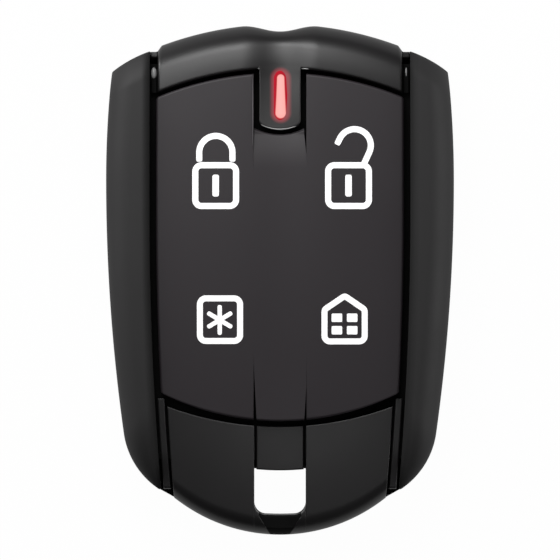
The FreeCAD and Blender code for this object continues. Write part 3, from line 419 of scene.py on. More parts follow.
def new_object(name, data):
    thing = bpy.data.objects.new(name, data)
    scene.collection.objects.link(thing)
    return thing


def add_piece(name, vertices, quads, material, extra=()):
    """Object from vertices in millimetres, quads and extra many-sided faces; smooth with sharp edges kept."""
    mesh = bpy.data.meshes.new(name)
    sizes = [4] * len(quads) + [len(face) for face in extra]
    corners = np.concatenate([np.ravel(quads), *extra]).astype(np.int32)
    mesh.vertices.add(len(vertices))
    mesh.vertices.foreach_set("co", np.ravel(vertices * MM).astype(np.float32))
    mesh.loops.add(len(corners))
    mesh.loops.foreach_set("vertex_index", corners)
    mesh.polygons.add(len(sizes))
    starts = np.concatenate([[0], np.cumsum(sizes)[:-1]]).astype(np.int32)
    mesh.polygons.foreach_set("loop_start", starts)
    mesh.update(calc_edges=True)
    mesh.validate()
    mesh.materials.append(material)
    mesh.shade_smooth()
    mesh.set_sharp_from_angle(angle=math.radians(40))
    piece = new_object(name, mesh)
    return piece


def grid_index(points, close_rows=False, close_columns=False):
    """Vertex numbers of a grid, with the first row or column again at the end where the grid closes."""
    rows, columns = points.shape[:2]
    index = np.arange(rows * columns).reshape(rows, columns)
    if close_columns:
        index = np.concatenate([index, index[:, :1]], axis=1)
    if close_rows:
        index = np.concatenate([index, index[:1]], axis=0)
    return index


def grid_quads(index):
    a, b, c, d = index[:-1, :-1], index[1:, :-1], index[1:, 1:], index[:-1, 1:]
    return stacked(a, b, c, d).reshape(-1, 4)


def block(name, x, y, z, foot, material):
    """Closed body under a grid of heights: the grid, walls from its rim down to a foot, and a flat bottom.

    Whichever way the grid turns, the faces come out facing outwards.
    """
    grid = stacked(*np.broadcast_arrays(x, y, z))
    near = np.cross(grid[1, 0] - grid[0, 0], grid[0, 1] - grid[0, 0])
    far = np.cross(grid[-1, -1] - grid[0, -1], grid[-1, -1] - grid[-1, 0])
    if near[2] + far[2] < 0:
        grid = grid[::-1]
    index = grid_index(grid)
    top = grid.reshape(-1, 3)
    loop = np.concatenate([index[:-1, 0], index[-1, :-1], index[:0:-1, -1], index[0, :0:-1]])
    feet = top[loop]
    feet[:, 2] = foot
    below = np.arange(len(loop)) + len(top)
    walls = stacked(loop, below, np.roll(below, -1), np.roll(loop, -1))
    quads = np.concatenate([grid_quads(index), walls])
    return add_piece(name, np.concatenate([top, feet]), quads, material, [below[::-1]])


def case_block(name, x, y, z, material=None, foot=PARTING_Z):
    piece = block(name, x, y, z, foot, material or CASE)
    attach(piece, "case")
    return piece


def both_sides(name, x, y, z, material=None):
    """The same block on the right and, mirrored, on the left."""
    return [case_block(name + side, way * x, y, z, material) for side, way in (("_right", 1), ("_left", -1))]


def merge_doubles(mesh):
    work = bmesh.new()
    work.from_mesh(mesh)
    bmesh.ops.remove_doubles(work, verts=work.verts, dist=2e-7)
    work.to_mesh(mesh)
    work.free()


def merged_copy(node, name):
    """Smooth copy of a dressed CAD node with its loose triangles merged; edges over 35 degrees stay sharp."""
    mesh = frame["nodes"][node].data.copy()
    mesh.name = name
    piece = new_object(name, mesh)
    merge_doubles(mesh)
    mesh.shade_smooth()
    mesh.set_sharp_from_angle(angle=math.radians(35))
    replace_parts(piece, node)
    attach(piece, "case")


class Nodes:
    """Adds shader nodes to one tree and joins them."""

    def __init__(self, tree):
        self.tree = tree

    def add(self, kind, settings=None, **inputs):
        node = self.tree.nodes.new(kind)
        for key, value in (settings or {}).items():
            setattr(node, key, value)
        for key, value in inputs.items():
            self.join(node.inputs[key.replace("_", " ")], value)
        return node

    def join(self, socket, value):
        if isinstance(value, bpy.types.NodeSocket):
            self.tree.links.new(value, socket)
        else:
            socket.default_value = value

    def group(self, tree, **inputs):
        return self.add("ShaderNodeGroup", {"node_tree": tree}, **inputs)

    def placed(self, kind, settings, values):
        """Node whose inputs are given by their places."""
        node = self.add(kind, settings)
        for place, value in values.items():
            self.join(node.inputs[place], value)
        return node

    def noise(self, scale, detail):
        place = self.add("ShaderNodeTexCoord").outputs["Object"]
        return self.add("ShaderNodeTexNoise", Vector=place, Scale=scale, Detail=detail).outputs["Fac"]

    def math(self, operation, a, b=0.0, c=0.0):
        """Result of a maths node over sockets or numbers."""
        return self.placed("ShaderNodeMath", {"operation": operation}, {0: a, 1: b, 2: c}).outputs["Value"]

    def mapped(self, value, low, high, to_low=0.0, to_high=1.0, kind="LINEAR"):
        """Value moved from one range to another, and held inside it."""
        node = self.add("ShaderNodeMapRange", {"interpolation_type": kind}, Value=value, From_Min=low,
                        From_Max=high, To_Min=to_low, To_Max=to_high)
        return node.outputs["Result"]

    def blended(self, share, first, second):
        """Colour between two."""
        return self.placed("ShaderNodeMix", {"data_type": "RGBA"}, {0: share, 6: first, 7: second}).outputs[2]


def new_group(name, outputs, **inputs):
    """Node group whose inputs and outputs are numbers; the inputs are given with their defaults."""
    tree = bpy.data.node_groups.new(name, "ShaderNodeTree")
    for key, value in inputs.items():
        tree.interface.new_socket(key, in_out="INPUT", socket_type="NodeSocketFloat").default_value = value
    for key in outputs:
        tree.interface.new_socket(key, in_out="OUTPUT", socket_type="NodeSocketFloat")
    return tree, Nodes(tree), tree.nodes.new("NodeGroupInput"), tree.nodes.new("NodeGroupOutput")


def grain_group():
    """Shared effect, fine moulded grain: a slow shift of the roughness and a fine height, each from noise."""
    tree, n, inside, outside = new_group("Moulded grain", ("Shift", "Height"), Size=FINE_GRAIN)
    n.join(outside.inputs["Shift"], n.mapped(n.noise(90.0, 3.0), 0.3, 0.7, -0.03, 0.03))
    n.join(outside.inputs["Height"], n.noise(inside.outputs["Size"], 2.0))
    return tree


def wear_group():
    """Shared effect, edge wear: 1 on convex edges that hands rub, 0 elsewhere, broken up by noise."""
    tree, n, inside, outside = new_group("Edge wear", ("Mask",), Width=0.0002)
    soft = n.add("ShaderNodeBevel", {"samples": 4}, Radius=inside.outputs["Width"])
    plain = n.add("ShaderNodeNewGeometry")
    match = n.placed("ShaderNodeVectorMath", {"operation": "DOT_PRODUCT"},
                     {0: soft.outputs["Normal"], 1: plain.outputs["Normal"]})
    edge = n.mapped(match.outputs["Value"], 0.995, 0.85)
    n.join(outside.inputs["Mask"], n.math("MULTIPLY", edge, n.mapped(n.noise(700.0, 3.0), 0.35, 0.65)))
    return tree


def window_group():
    """Shared effect: distance in millimetres from the signal window's middle line, seen in the plan."""
    tree, n, _, outside = new_group("Window distance", ("Distance", "Along"))
    place = n.add("ShaderNodeSeparateXYZ", Vector=n.add("ShaderNodeTexCoord").outputs["Object"])
    along = n.math("MULTIPLY_ADD", place.outputs["Y"], 1000.0, -WINDOW_Y)
    past = n.math("SUBTRACT", n.math("ABSOLUTE", along), WINDOW_LENGTH / 2 - WINDOW_HALF)
    across = n.math("MULTIPLY_ADD", place.outputs["X"], 1000.0, -WINDOW_SHIFT)
    both = n.add("ShaderNodeCombineXYZ", X=across, Y=n.math("MAXIMUM", past, 0.0))
    length = n.add("ShaderNodeVectorMath", {"operation": "LENGTH"}, Vector=both.outputs["Vector"])
    n.join(outside.inputs["Distance"], length.outputs["Value"])
    n.join(outside.inputs["Along"], along)
    return tree


GRAIN = grain_group()
WEAR = wear_group()
WINDOW_DISTANCE = window_group()


def new_material(name):
    material = bpy.data.materials.new(name)
    material.use_nodes = True
    material.node_tree.nodes.clear()
    n = Nodes(material.node_tree)
    return material, n, n.add("ShaderNodeOutputMaterial")


def moulded(name, colour, roughness, grain_size, grain_depth, edge=0.0, specular=0.5, painted_window_light=False, shade=None):
    """Moulded plastic or rubber: fine grain and uneven roughness, with soft edges and a paler rub if wanted.

    A painted window light is the signal window's red light, painted as emission on the face round it.  A
    shade, for a material with soft edges, is the name of a mesh attribute for painted shade; where it is 1 the
    surface is painted darker and duller.
    """
    material, n, out = new_material(name)
    grain = n.group(GRAIN, Size=grain_size)
    bump = n.add("ShaderNodeBump", Height=grain.outputs["Height"], Distance=grain_depth, Strength=0.5)
    rough = n.math("ADD", grain.outputs["Shift"], roughness)
    shader = n.add("ShaderNodeBsdfPrincipled", Base_Color=(*colour, 1.0), Roughness=rough,
                   Normal=bump.outputs["Normal"], Specular_IOR_Level=specular)
    if edge:
        wear = n.group(WEAR, Width=edge)
        paler = (*[channel * 1.8 for channel in colour], 1.0)
        tint = n.blended(n.math("MULTIPLY", wear.outputs["Mask"], 0.5), (*colour, 1.0), paler)
        n.join(shader.inputs["Base Color"], tint)
        n.join(bump.inputs["Normal"], n.add("ShaderNodeBevel", {"samples": 6}, Radius=edge).outputs["Normal"])
    # Painted shade: the attribute makes the surface darker and duller where shade would fall
    if shade:
        near = n.add("ShaderNodeAttribute", {"attribute_name": shade}).outputs["Fac"]
        n.join(shader.inputs["Roughness"], n.math("MULTIPLY_ADD", near, 0.35, rough))
        n.join(shader.inputs["Base Color"], n.blended(near, tint, (0.001, 0.001, 0.001, 1.0)))
    # Painted light: red emission on the case round the signal window, fading with the distance from it
    if painted_window_light:
        distance = n.group(WINDOW_DISTANCE).outputs["Distance"]
        n.join(shader.inputs["Emission Color"], (0.62, 0.05, 0.075, 1.0))
        n.join(shader.inputs["Emission Strength"], n.mapped(distance, 0.8, 1.4, 0.4, 0.0, "SMOOTHSTEP"))
    n.join(out.inputs["Surface"], shader.outputs["BSDF"])
    return material


def lens_material():
    """Lit red window: a pale lit core in a deep red rim, narrower towards the arch."""
    material, n, out = new_material("Red window")
    group = n.group(WINDOW_DISTANCE)
    taper = n.mapped(group.outputs["Along"], -3.0, 3.0, 0.82, 1.42)
    reach = n.math("MULTIPLY", group.outputs["Distance"], taper)
    ramp = n.add("ShaderNodeValToRGB", Fac=n.math("DIVIDE", reach, WINDOW_HALF))
    stops = ramp.color_ramp.elements
    stops[0].position, stops[0].color = 0.0, (0.98, 0.52, 0.48, 1.0)
    stops[1].position, stops[1].color = 1.0, (0.42, 0.003, 0.016, 1.0)
    for place, colour in ((0.58, (0.98, 0.46, 0.42, 1.0)), (0.72, (0.46, 0.012, 0.024, 1.0)),
                          (0.86, (0.36, 0.003, 0.014, 1.0))):
        stops.new(place).color = colour
    shader = n.add("ShaderNodeBsdfPrincipled", Base_Color=(0.1, 0.003, 0.006, 1.0), Roughness=0.6,
                   Emission_Color=ramp.outputs["Color"], Emission_Strength=0.95, Specular_IOR_Level=0.08)
    n.join(out.inputs["Surface"], shader.outputs["BSDF"])
    return material


def plain(name, colour, roughness, metal=0.0, painted_glow=0.0):
    """Material of an inner piece or of the ink: one colour, with grain in its roughness, and emission for
    painted light where asked.
    """
    material, n, out = new_material(name)
    grain = n.group(GRAIN, Size=2500.0)
    shader = n.add("ShaderNodeBsdfPrincipled", Base_Color=(*colour, 1.0), Metallic=metal,
                   Roughness=n.math("ADD", grain.outputs["Shift"], roughness), Emission_Color=(*colour, 1.0),
                   Emission_Strength=painted_glow)
    n.join(out.inputs["Surface"], shader.outputs["BSDF"])
    return material


# Case plastic, with the signal window's light painted on it as red emission
CASE = moulded("Case plastic", CASE_BLACK, 0.36, FINE_GRAIN, 3e-6, 0.00012, painted_window_light=True)
# Rail plastic with painted shade, darker and duller towards each rail's inner edge
RAIL = moulded("Rail plastic with painted shade", CASE_BLACK, 0.66, FINE_GRAIN, 3e-6, 0.00015, shade="painted_shade_inner_edge")
# Pale plastic and pale rubber for painted highlights on thin beads
PAINTED_HIGHLIGHT = moulded("Painted highlight", (0.36, 0.36, 0.36), 0.2, FINE_GRAIN, 1e-6)
PAINTED_HIGHLIGHT_RUBBER = moulded("Rubber with painted highlight", (0.075, 0.07, 0.075), 0.4, SOFT_GRAIN, 2e-6)
PAD = moulded("Pad rubber", (0.0165, 0.0125, 0.0156), 0.5, SOFT_GRAIN, 4e-6)
# Near-black, nearly matt plastic: painted shade for the deck, the groove floors and bed, and the dent under
# the slot
PAINTED_SHADE_BLACK = moulded("Painted shade black", (0.002, 0.002, 0.002), 0.7, SOFT_GRAIN, 3e-6, specular=0.1)
# The ink's emission is painted light: it brightens the white signs, which are no lamp
INK = plain("White ink, painted light", (0.93, 0.93, 0.93), 0.5, painted_glow=0.35)
LENS = lens_material()
SLOT_MATERIALS = {
    "case_plastic": CASE,
    "pad_rubber": PAD,
    "red_lens": LENS,
    "screw_steel": plain("Zinc", (0.5, 0.5, 0.52), 0.3, 1.0),
    "board": plain("Board", (0.02, 0.16, 0.07), 0.4),
    "copper": plain("Copper", (0.72, 0.42, 0.2), 0.35, 1.0),
    "chip_black": plain("Epoxy", (0.03, 0.03, 0.032), 0.5),
    "tin": plain("Tin", (0.75, 0.75, 0.73), 0.35, 1.0),
    "can_steel": plain("Nickel", (0.62, 0.62, 0.62), 0.25, 1.0),
    "ceramic_tan": plain("Ceramic", (0.62, 0.5, 0.36), 0.5),
    "clear_resin": plain("Resin", (0.85, 0.82, 0.75), 0.2),
    "spring_metal": plain("Bronze", (0.66, 0.56, 0.36), 0.3, 1.0),
    "plunger_plastic": plain("Plunger", (0.12, 0.12, 0.12), 0.5),
}


def dress_nodes():
    """Every CAD node gets the material of its slot."""
    for entry in frame["record"]["subparts"]:
        node = frame["nodes"][entry["node"]]
        node.data.materials.clear()
        node.data.materials.append(SLOT_MATERIALS[entry["material_slot"]])


def above_parting(z):
    """Height, held a hair over the plane where the covers part."""
    return np.maximum(z, PARTING_Z + ABOVE_PARTING)


def rail():
    """Side rail: straight runs from the inner to the outer edge, risen by the roll's height.

    The share along the rail runs from its slanted top (0) to its tip (1).  Its top edge bulges as a parabola
    that fades within the first part, and the crest sinks to both ends as a square of the distance.
    """
    share, run = mesh_grid(spread(300), spread(70))
    inner_y = between(RAIL_TOP_Y, TIP_Y, share)
    inner_x = rail_inner_x(inner_y)
    side_run = RAIL_CORNER_Y - CORNER_START_Y
    side_share = side_run / (side_run + CORNER_RADIUS)
    side_y = RAIL_CORNER_Y - np.minimum(share / side_share, 1.0) * side_run
    corner_x, corner_y = corner_point(limited((share - side_share) / (1 - side_share)))
    outer_x = np.where(share > side_share, corner_x, side_x(side_y))
    outer_y = np.where(share > side_share, corner_y, side_y)
    width = np.hypot(outer_x - inner_x, outer_y - inner_y)
    fit = np.minimum(width / (RAIL_INNER_ROUND + RAIL_CREST_MIN + RAIL_SHOULDER), 1.0)
    from_top = limited(1 - (RAIL_TOP_Y - inner_y) / RAIL_TOP_RUN)
    from_tip = limited(1 - (inner_y - TIP_Y) / RAIL_END_RUN)
    top_z = RAIL_CREST_Z - sag((inner_y + outer_y) / 2 - CROWN_Y, CROWN_RADIUS_Y)
    top_z = top_z - RAIL_TOP_DROP * from_top ** 2 - RAIL_END_DROP * from_tip ** 2
    z = roll_height(run * width, width, top_z, math.radians(RAIL_CREST_SLOPE), RAIL_INNER_ROUND * fit,
                    RAIL_CREST_RADIUS, RAIL_SHOULDER * fit)
    lean = math.atan2(RAIL_TOP_Y - RAIL_CORNER_Y, side_x(RAIL_CORNER_Y) - RAIL_INNER_X)
    bulge = RAIL_TOP_BULGE * 4 * run * (1 - run) * limited(1 - share / 0.05) ** 2
    x = between(inner_x, outer_x, run) + bulge * math.sin(lean)
    y = between(inner_y, outer_y, run) + bulge * math.cos(lean)
    z = z - edge_drop(share * (RAIL_TOP_Y - TIP_Y), RAIL_TOP_ROUND)
    pieces = both_sides("rail", x, y, above_parting(z), RAIL)
    # Painted shade: an attribute, 1 at a rail's inner edge and 0 a RAIL_SHADE further out, that the rail
    # material turns into darker, duller plastic
    for piece in pieces:
        place = np.empty(3 * len(piece.data.vertices), np.float32)
        piece.data.vertices.foreach_get("co", place)
        place = place.reshape(-1, 3).astype(float) / MM
        inside = np.abs(place[:, 0]) - rail_inner_x(place[:, 1])
        shade = limited(1 - inside / RAIL_SHADE)
        attribute = piece.data.attributes.new("painted_shade_inner_edge", "FLOAT", "POINT")
        attribute.data.foreach_set("value", shade.astype(np.float32))
    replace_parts(pieces[0], "side_rail_right")
    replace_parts(pieces[1], "side_rail_left")


def arch():
    """Arch above the keypad: the roll from the pad's edge to the outline, with its outer corners clipped."""
    x, run = mesh_grid(spread(320, -ARCH_HALF, ARCH_HALF), spread(80))
    y = between(arch_inner_y(x), arch_outer_y(x), run)
    inside = ARCH_HALF - np.abs(x)
    z = arch_height(x, y) - edge_drop(inside, COVER_EDGE_ROUND)
    y = y - ARCH_CLIP * limited(1 - inside / ARCH_CLIP) * run ** 8
    return case_block("case_arch", x, y, above_parting(z))


def slot_top_y(x):
    return SLOT_TOP_Y - SLOT_TOP_BOW * (1 - (x / SLOT_HALF) ** 2)


def slot_bottom_y(x):
    """Lower edge of the key-ring slot: slightly bowed, with a quarter round at each corner."""
    bow = SLOT_BOTTOM_BOW * (x / SLOT_HALF) ** 2
    return SLOT_BOTTOM_Y + bow + edge_drop(SLOT_HALF - np.abs(x), SLOT_CORNER)


def scoop_half_x(y):
    """Half width of the dent in the bar: full at the slot, narrowing in a straight line to the case's end."""
    share = limited((SLOT_BOTTOM_Y - y) / (SLOT_BOTTOM_Y - CHIN_END_Y))
    return between(SCOOP_HALF, SCOOP_END_HALF, share)


def chin():
    """Chin: a side on each flank of the channel and the slot, each between its two curves.

    How far a run reaches depends on where it ends, so x is worked out again a few times.
    """
    across, run = mesh_grid(spread(160), spread(90))
    x = between(SLOT_HALF, CHIN_REACH, across)
    for _ in range(3):
        x = between(SLOT_HALF, chin_side_x(between(chin_inner_y(x), chin_outer_y(x), run)), across)
    y = between(chin_inner_y(x), chin_outer_y(x), run)
    z = chin_height(x, y) - edge_drop(chin_side_x(y) - x, CHIN_SIDE_ROUND)
    z = z - np.where(y > SLOT_BOTTOM_Y, edge_drop(x - SLOT_HALF, SLOT_SIDE_ROUND), 0.0)
    both_sides("case_chin", x, y, above_parting(z))


def bar():
    """Bar below the slot: a side at the chin's height on each flank of its dent, and the dent's flat floor.

    Both round off by a quarter circle at the slot.
    """
    edge, run = mesh_grid(even(60), spread(70))
    start = scoop_half_x(SLOT_BOTTOM_Y)
    x = between(start, SLOT_HALF, edge)
    for _ in range(4):
        y = between(slot_bottom_y(x), chin_outer_y(x), run)
        x = between(scoop_half_x(y), SLOT_HALF, edge)
    z = chin_height(x, y) - edge_drop(slot_bottom_y(x) - y, SLOT_BAR_ROUND)
    both_sides("case_bar", x, y, above_parting(z))

    floor = crown(0.0, SLOT_BOTTOM_Y) - BELOW_PAD - SCOOP_DEPTH
    edge, run = mesh_grid(even(60, -1.0, 1.0), spread(70))
    x = edge * start
    for _ in range(4):
        y = between(slot_bottom_y(x), chin_outer_y(x), run)
        x = edge * scoop_half_x(y)
    z = np.minimum(chin_height(x, y), floor) - edge_drop(slot_bottom_y(x) - y, SLOT_BAR_ROUND)
    # The dent's floor is near-black painted shade
    case_block("case_scoop", x, y, above_parting(z), PAINTED_SHADE_BLACK)


def channel():
    """Sunken strip between the chin's sides: the crown less its depth, with rounded edges."""
    half = SLOT_HALF - CHANNEL_GAP
    x, run = mesh_grid(even(60, -half, half), spread(60))
    y = between(slot_top_y(x), chin_inner_y(x), run)
    z = crown(x, y) - BELOW_PAD - CHANNEL_DEPTH
    z = z - edge_drop(chin_inner_y(x) - y, CHANNEL_TOP_ROUND) - edge_drop(y - slot_top_y(x), CHANNEL_LIP_ROUND)
    case_block("case_channel", x, y, z - edge_drop(half - np.abs(x), CHANNEL_SIDE_ROUND))


def island_end_y(x):
    """Lower edge of the island: a shallow arc with a quarter round at each corner."""
    return ISLAND_END_Y + sag(x, ISLAND_END_RADIUS) + edge_drop(ISLAND_HALF - np.abs(x), ISLAND_CORNER)


def island_height(x, y):
    """The island's top, sinking into the arch's trough where the two meet."""
    share = limited((y - ISLAND_END_Y) / (arch_inner_y(0.0) - ISLAND_END_Y))
    return crown(x, y) - ISLAND_BELOW - (ARCH_TROUGH * dip(x) - ISLAND_BELOW) * share


def island():
    """Tongue that comes down from the arch and carries the signal window.

    It runs on over the arch's edge, a hair above the roll and then below it.  Its height near that edge is
    mixed with its running mean, so that no crease shows there.
    """
    x, run = mesh_grid(spread(90, -ISLAND_HALF, ISLAND_HALF), spread(110))
    y = between(island_end_y(x), arch_inner_y(x) + ISLAND_OVERLAP, run)
    past = arch_inner_y(x) - y
    joint = SEAM_RISE * limited(1 - past / SEAM_RUN) ** 2
    z = np.where(past > 0, island_height(x, y) + joint, arch_height(x, y) + 0.006 + 0.02 * past)
    near = np.exp(-((past / SEAM_BLUR) ** 2))
    wide = np.pad(z, ((0, 0), (6, 6)), mode="edge")
    mean = sum(wide[:, k:k + z.shape[1]] for k in range(13)) / 13
    z = between(z, mean, near)
    z = z - edge_drop(ISLAND_HALF - np.abs(x), ISLAND_SIDE_ROUND) * limited(past / 0.4)
    z = z - edge_drop(y - island_end_y(x), COVER_EDGE_ROUND)
    case_block("case_island", x, y, z, foot=PLATE_BOTTOM_Z)


def bead(name, x, y, z, size=BEAD, material=PAINTED_HIGHLIGHT, body="case"):
    """Painted highlight: a pale round bead along a path, thinning to both ends as the root of a parabola."""
    path = stacked(x, y, z)
    along = unit(np.gradient(path, axis=0))
    across = stacked(-along[:, 1], along[:, 0], 0.0 * x)
    share = even(len(x))
    radius = size * np.sqrt(np.maximum(4 * share * (1 - share), 0.0004))[:, None, None]
    turn = np.linspace(0.0, 2 * np.pi, BEAD_SIDES, endpoint=False)[None, :, None]
    ring = path[:, None] + radius * (np.cos(turn) * across[:, None] + np.sin(turn) * np.array([0.0, 0.0, 1.0]))
    index = grid_index(ring, close_columns=True)
    piece = add_piece(name, ring.reshape(-1, 3), grid_quads(index)[:, ::-1], material,
                      [index[0, :-1], index[-1, :-1][::-1]])
    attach(piece, body)


def painted_highlights():
    """Painted highlights as pale beads: the island's lower lip, the arch's edge beside it, the grooves and the
    lock key.
    """
    x = even(60, -2.25, 1.95)
    y = island_end_y(x) + 0.12
    bead("island_lip_painted_highlight", x, y, island_height(x, y) - 0.06)
    for name, start, end in (("left", -2.62, -2.38), ("right", 2.5, 3.4)):
        x = even(20, start, end)
        y = arch_inner_y(x) + 0.1
        bead("arch_edge_painted_highlight_" + name, x, y, arch_height(x, y) - 0.03)
    y = even(30, 23.75, 25.1)
    for name, side, size in (("left", -1, 0.34), ("right", 1, 0.12)):
        x = 0.0 * y + side * (RAIL_INNER_X - 0.5)
        bead("groove_painted_highlight_" + name, x, y, groove_height(x, y) - 0.1, size)
    y = even(80, 15.6, 24.1)
    x = 0.0 * y - SPINE_HALF - 0.1
    bead("lock_edge_painted_highlight", x, y, pad_height(x, y) - 0.03, 0.07, PAINTED_HIGHLIGHT_RUBBER)


def groove_height(x, y, fall=0.0):
    """Floor of a groove beside a rail: the crown less its depth, with a smooth fall near the rail's tip."""
    step = limited((GROOVE_FALL_Y - y) / GROOVE_FALL_RUN)
    return crown(x, y) - BELOW_PAD - GROOVE_DEPTH - fall * step * step * (3 - 2 * step)


def groove_part(gap, rows, start_y, end_y):
    """Grid between the arch and a rail, with its height less a small round at both sides."""
    x, y = mesh_grid(even(16, ARCH_HALF + gap[0], RAIL_INNER_X - gap[1]), spread(rows, start_y, end_y))
    return x, y, groove_height(x, y) - edge_drop(np.minimum(x - x.min(), x.max() - x), GROOVE_ROUND)


def grooves():
    """Floors and ends of the grooves beside the arch, and the deeper bed with a strip beside the chin."""
    x, y, z = groove_part((0.1, RAIL_CLEAR + 0.1), 120, GROOVE_START_Y, GROOVE_FLOOR_Y)
    # The groove floors are near-black painted shade
    both_sides("groove_floor", x, y, z - edge_drop(GROOVE_FLOOR_Y - y, GROOVE_FLOOR_ROUND), PAINTED_SHADE_BLACK)
    x, y, z = groove_part((0.03, 0.03), 60, GROOVE_END_Y, RAIL_TOP_Y - 0.02)
    both_sides("groove_end", x, y, z - GROOVE_END_DROP - edge_drop(y - GROOVE_END_Y, COVER_EDGE_ROUND))
    end_y = TIP_Y + 0.05
    across, y = mesh_grid(even(16), even(160, end_y, BED_TOP_Y))
    x = rail_inner_x(y) - CHIN_GROOVE + 0.02 + across * (CHIN_GROOVE - RAIL_CLEAR)
    # The bed is near-black painted shade
    both_sides("groove_bed", x, y, groove_height(x, y, BED_FALL) - BED_DEPTH, PAINTED_SHADE_BLACK)
    gap = (RAIL_CLEAR + CHIN_GROOVE - STRIP_WIDTH) / 2
    x = rail_inner_x(y) - gap - STRIP_WIDTH + across * STRIP_WIDTH
    z = groove_height(x, y, STRIP_FALL) + STRIP_LIFT - edge_drop(y - end_y, COVER_EDGE_ROUND)
    z = z - edge_drop(np.minimum(across, 1 - across) * STRIP_WIDTH, GROOVE_ROUND)
    both_sides("groove_strip", x, y, z)


def deck():
    """Plate under the keypad, seen only down the gaps round it, in near-black painted shade."""
    across, y = mesh_grid(even(40, -1.0, 1.0), even(60, -21.0, 25.5))
    x = across * (rail_inner_x(y) + 0.6)
    case_block("case_deck", x, y, PLATE_TOP_Z, PAINTED_SHADE_BLACK, PLATE_BOTTOM_Z)


def outline_points():
    """Points round the case's outline, anticlockwise: chin, corner, side, slanted top, arch, and back."""
    flank_x = even(50, SLOT_HALF + 0.02, chin_side_x(TIP_Y))
    chin_x = np.concatenate([spread(30, 0.0, SLOT_HALF), flank_x])
    chin_run = stacked(chin_x, chin_outer_y(chin_x))
    corner = stacked(*corner_point(even(60, 1.0, 0.0)))
    side_y = even(60, CORNER_START_Y, RAIL_CORNER_Y)[1:]
    side = stacked(side_x(side_y), side_y)
    arch_x = even(90, ARCH_HALF - ARCH_CLIP, 0.0)
    top = stacked(arch_x, arch_outer_y(arch_x))
    start, end = side[-1], np.array([ARCH_HALF, arch_outer_y(ARCH_HALF) - ARCH_CLIP])
    share = even(14)[1:, None]
    lean = unit(np.array([end[1] - start[1], start[0] - end[0]]))
    slant = between(start, end, share) + lean * RAIL_TOP_BULGE * 4 * share * (1 - share)
    right = np.concatenate([chin_run, corner, side, slant, top])
    left = right[-2:0:-1] * np.array([-1.0, 1.0])
    return np.concatenate([right, left])


def rear_roll():
    """Rear cover's outside: the outline drawn in along a quarter ellipse, closed again inside the wall.

    Across the slot the band stops at the slot's lower edge.  There its points keep their x, and the outline
    of each level is the scaled chin arc at that x.  How far the band may go in is worked out a few times.
    """
    ring_x, ring_y = outline_points().T
    turned_in = REAR_ROLL_IN * (1 - np.cos(even(24, 0.0, np.pi / 2)[1:]))
    level = np.concatenate([[REAR_WALL, 0.0, 0.0], turned_in, [REAR_ROLL_IN + 0.5, REAR_WALL + 1.0]])[:, None]
    on_chin = ring_y < TIP_Y - 0.01
    drawn = limited((np.abs(ring_x) - REAR_STILL_X) / (REAR_DRAWN_X - REAR_STILL_X))
    keep = np.where(on_chin, drawn, 1.0)
    at_slot = np.abs(ring_x) < SLOT_HALF + 0.001
    slot_y = slot_bottom_y(np.clip(ring_x, -SLOT_HALF, SLOT_HALF))
    on_arc, limit = np.clip(ring_x, -REAR_DRAWN_X, REAR_DRAWN_X), 2.0
    for _ in range(4):
        limit = (1 - slot_y / chin_outer_y(on_arc / (1 - limit / HALF_WIDTH))) * -CHIN_END_Y
    inset = np.where(at_slot, np.minimum(level, limit), level)
    x = ring_x * (1 - keep * inset / HALF_WIDTH)
    source = np.clip(x / (1 - inset / HALF_WIDTH), -CHIN_REACH, CHIN_REACH)
    y = np.where(on_chin, chin_outer_y(source), ring_y) * (1 + inset / CHIN_END_Y)
    turned = limited(1 - inset / REAR_ROLL_IN)
    z = REAR_ROLL_UP * (1 - np.sqrt(1 - turned ** 2))
    z[:2] = PARTING_Z
    z[-1] = REAR_LEDGE_Z
    points = stacked(x, y, z)
    index = grid_index(points, close_rows=True, close_columns=True)
    piece = add_piece("case_rear_roll", points.reshape(-1, 3), grid_quads(index), CASE)
    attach(piece, "case")


def window():
    """Signal window: a long pane with round ends and a low dome, from its outline in to its middle line.

    Its half width shrinks towards both ends as a square.
    """
    turn = np.linspace(0.0, 2 * np.pi, 96, endpoint=False)
    run = WINDOW_LENGTH / 2 - WINDOW_HALF
    ring_y = WINDOW_HALF * np.sin(turn) + np.sign(np.sin(turn)) * run
    ring_x = WINDOW_HALF * np.cos(turn) * (1 - WINDOW_TAPER * (2 * ring_y / WINDOW_LENGTH) ** 2)
    shares = np.concatenate([np.cos(even(14, 0.0, np.pi / 2))[:-1], [0.0]])
    x = ring_x[:, None] * shares
    cap_y = (WINDOW_HALF * np.sin(turn))[:, None]
    y = WINDOW_Y + ring_y[:, None] - cap_y + cap_y * shares
    z = island_height(x, y) + WINDOW_PROUD - 0.05 + WINDOW_DOME * np.sqrt(1 - shares ** 2)
    top = stacked(x, y, z)
    foot = top[:, :1].copy()
    foot[..., 2] = WINDOW_FOOT_Z
    points = np.concatenate([foot, top], axis=1)
    index = grid_index(points, close_rows=True)
    bottom = index[:-1, 0][::-1]
    piece = add_piece("window_lens", points.reshape(-1, 3), grid_quads(index), LENS, [bottom])
    merge_doubles(piece.data)
    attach(piece, "case")
    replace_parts(piece, "signal_window")


def spine_top_y(x):
    """Upper edge of the spine: a shallow arc round the island's end."""
    return SPINE_TOP_Y + sag(x, SPINE_TOP_RADIUS)


def slit_share(y, top_run, bottom_run):
    """Share that grows in a straight line to 1 at the spine's upper and lower ends, over a run at each."""
    top = limited(1 - (SPINE_TOP_Y - y) / top_run)
    return np.maximum(top, limited(1 - (y - PAD_BOTTOM_Y) / bottom_run))


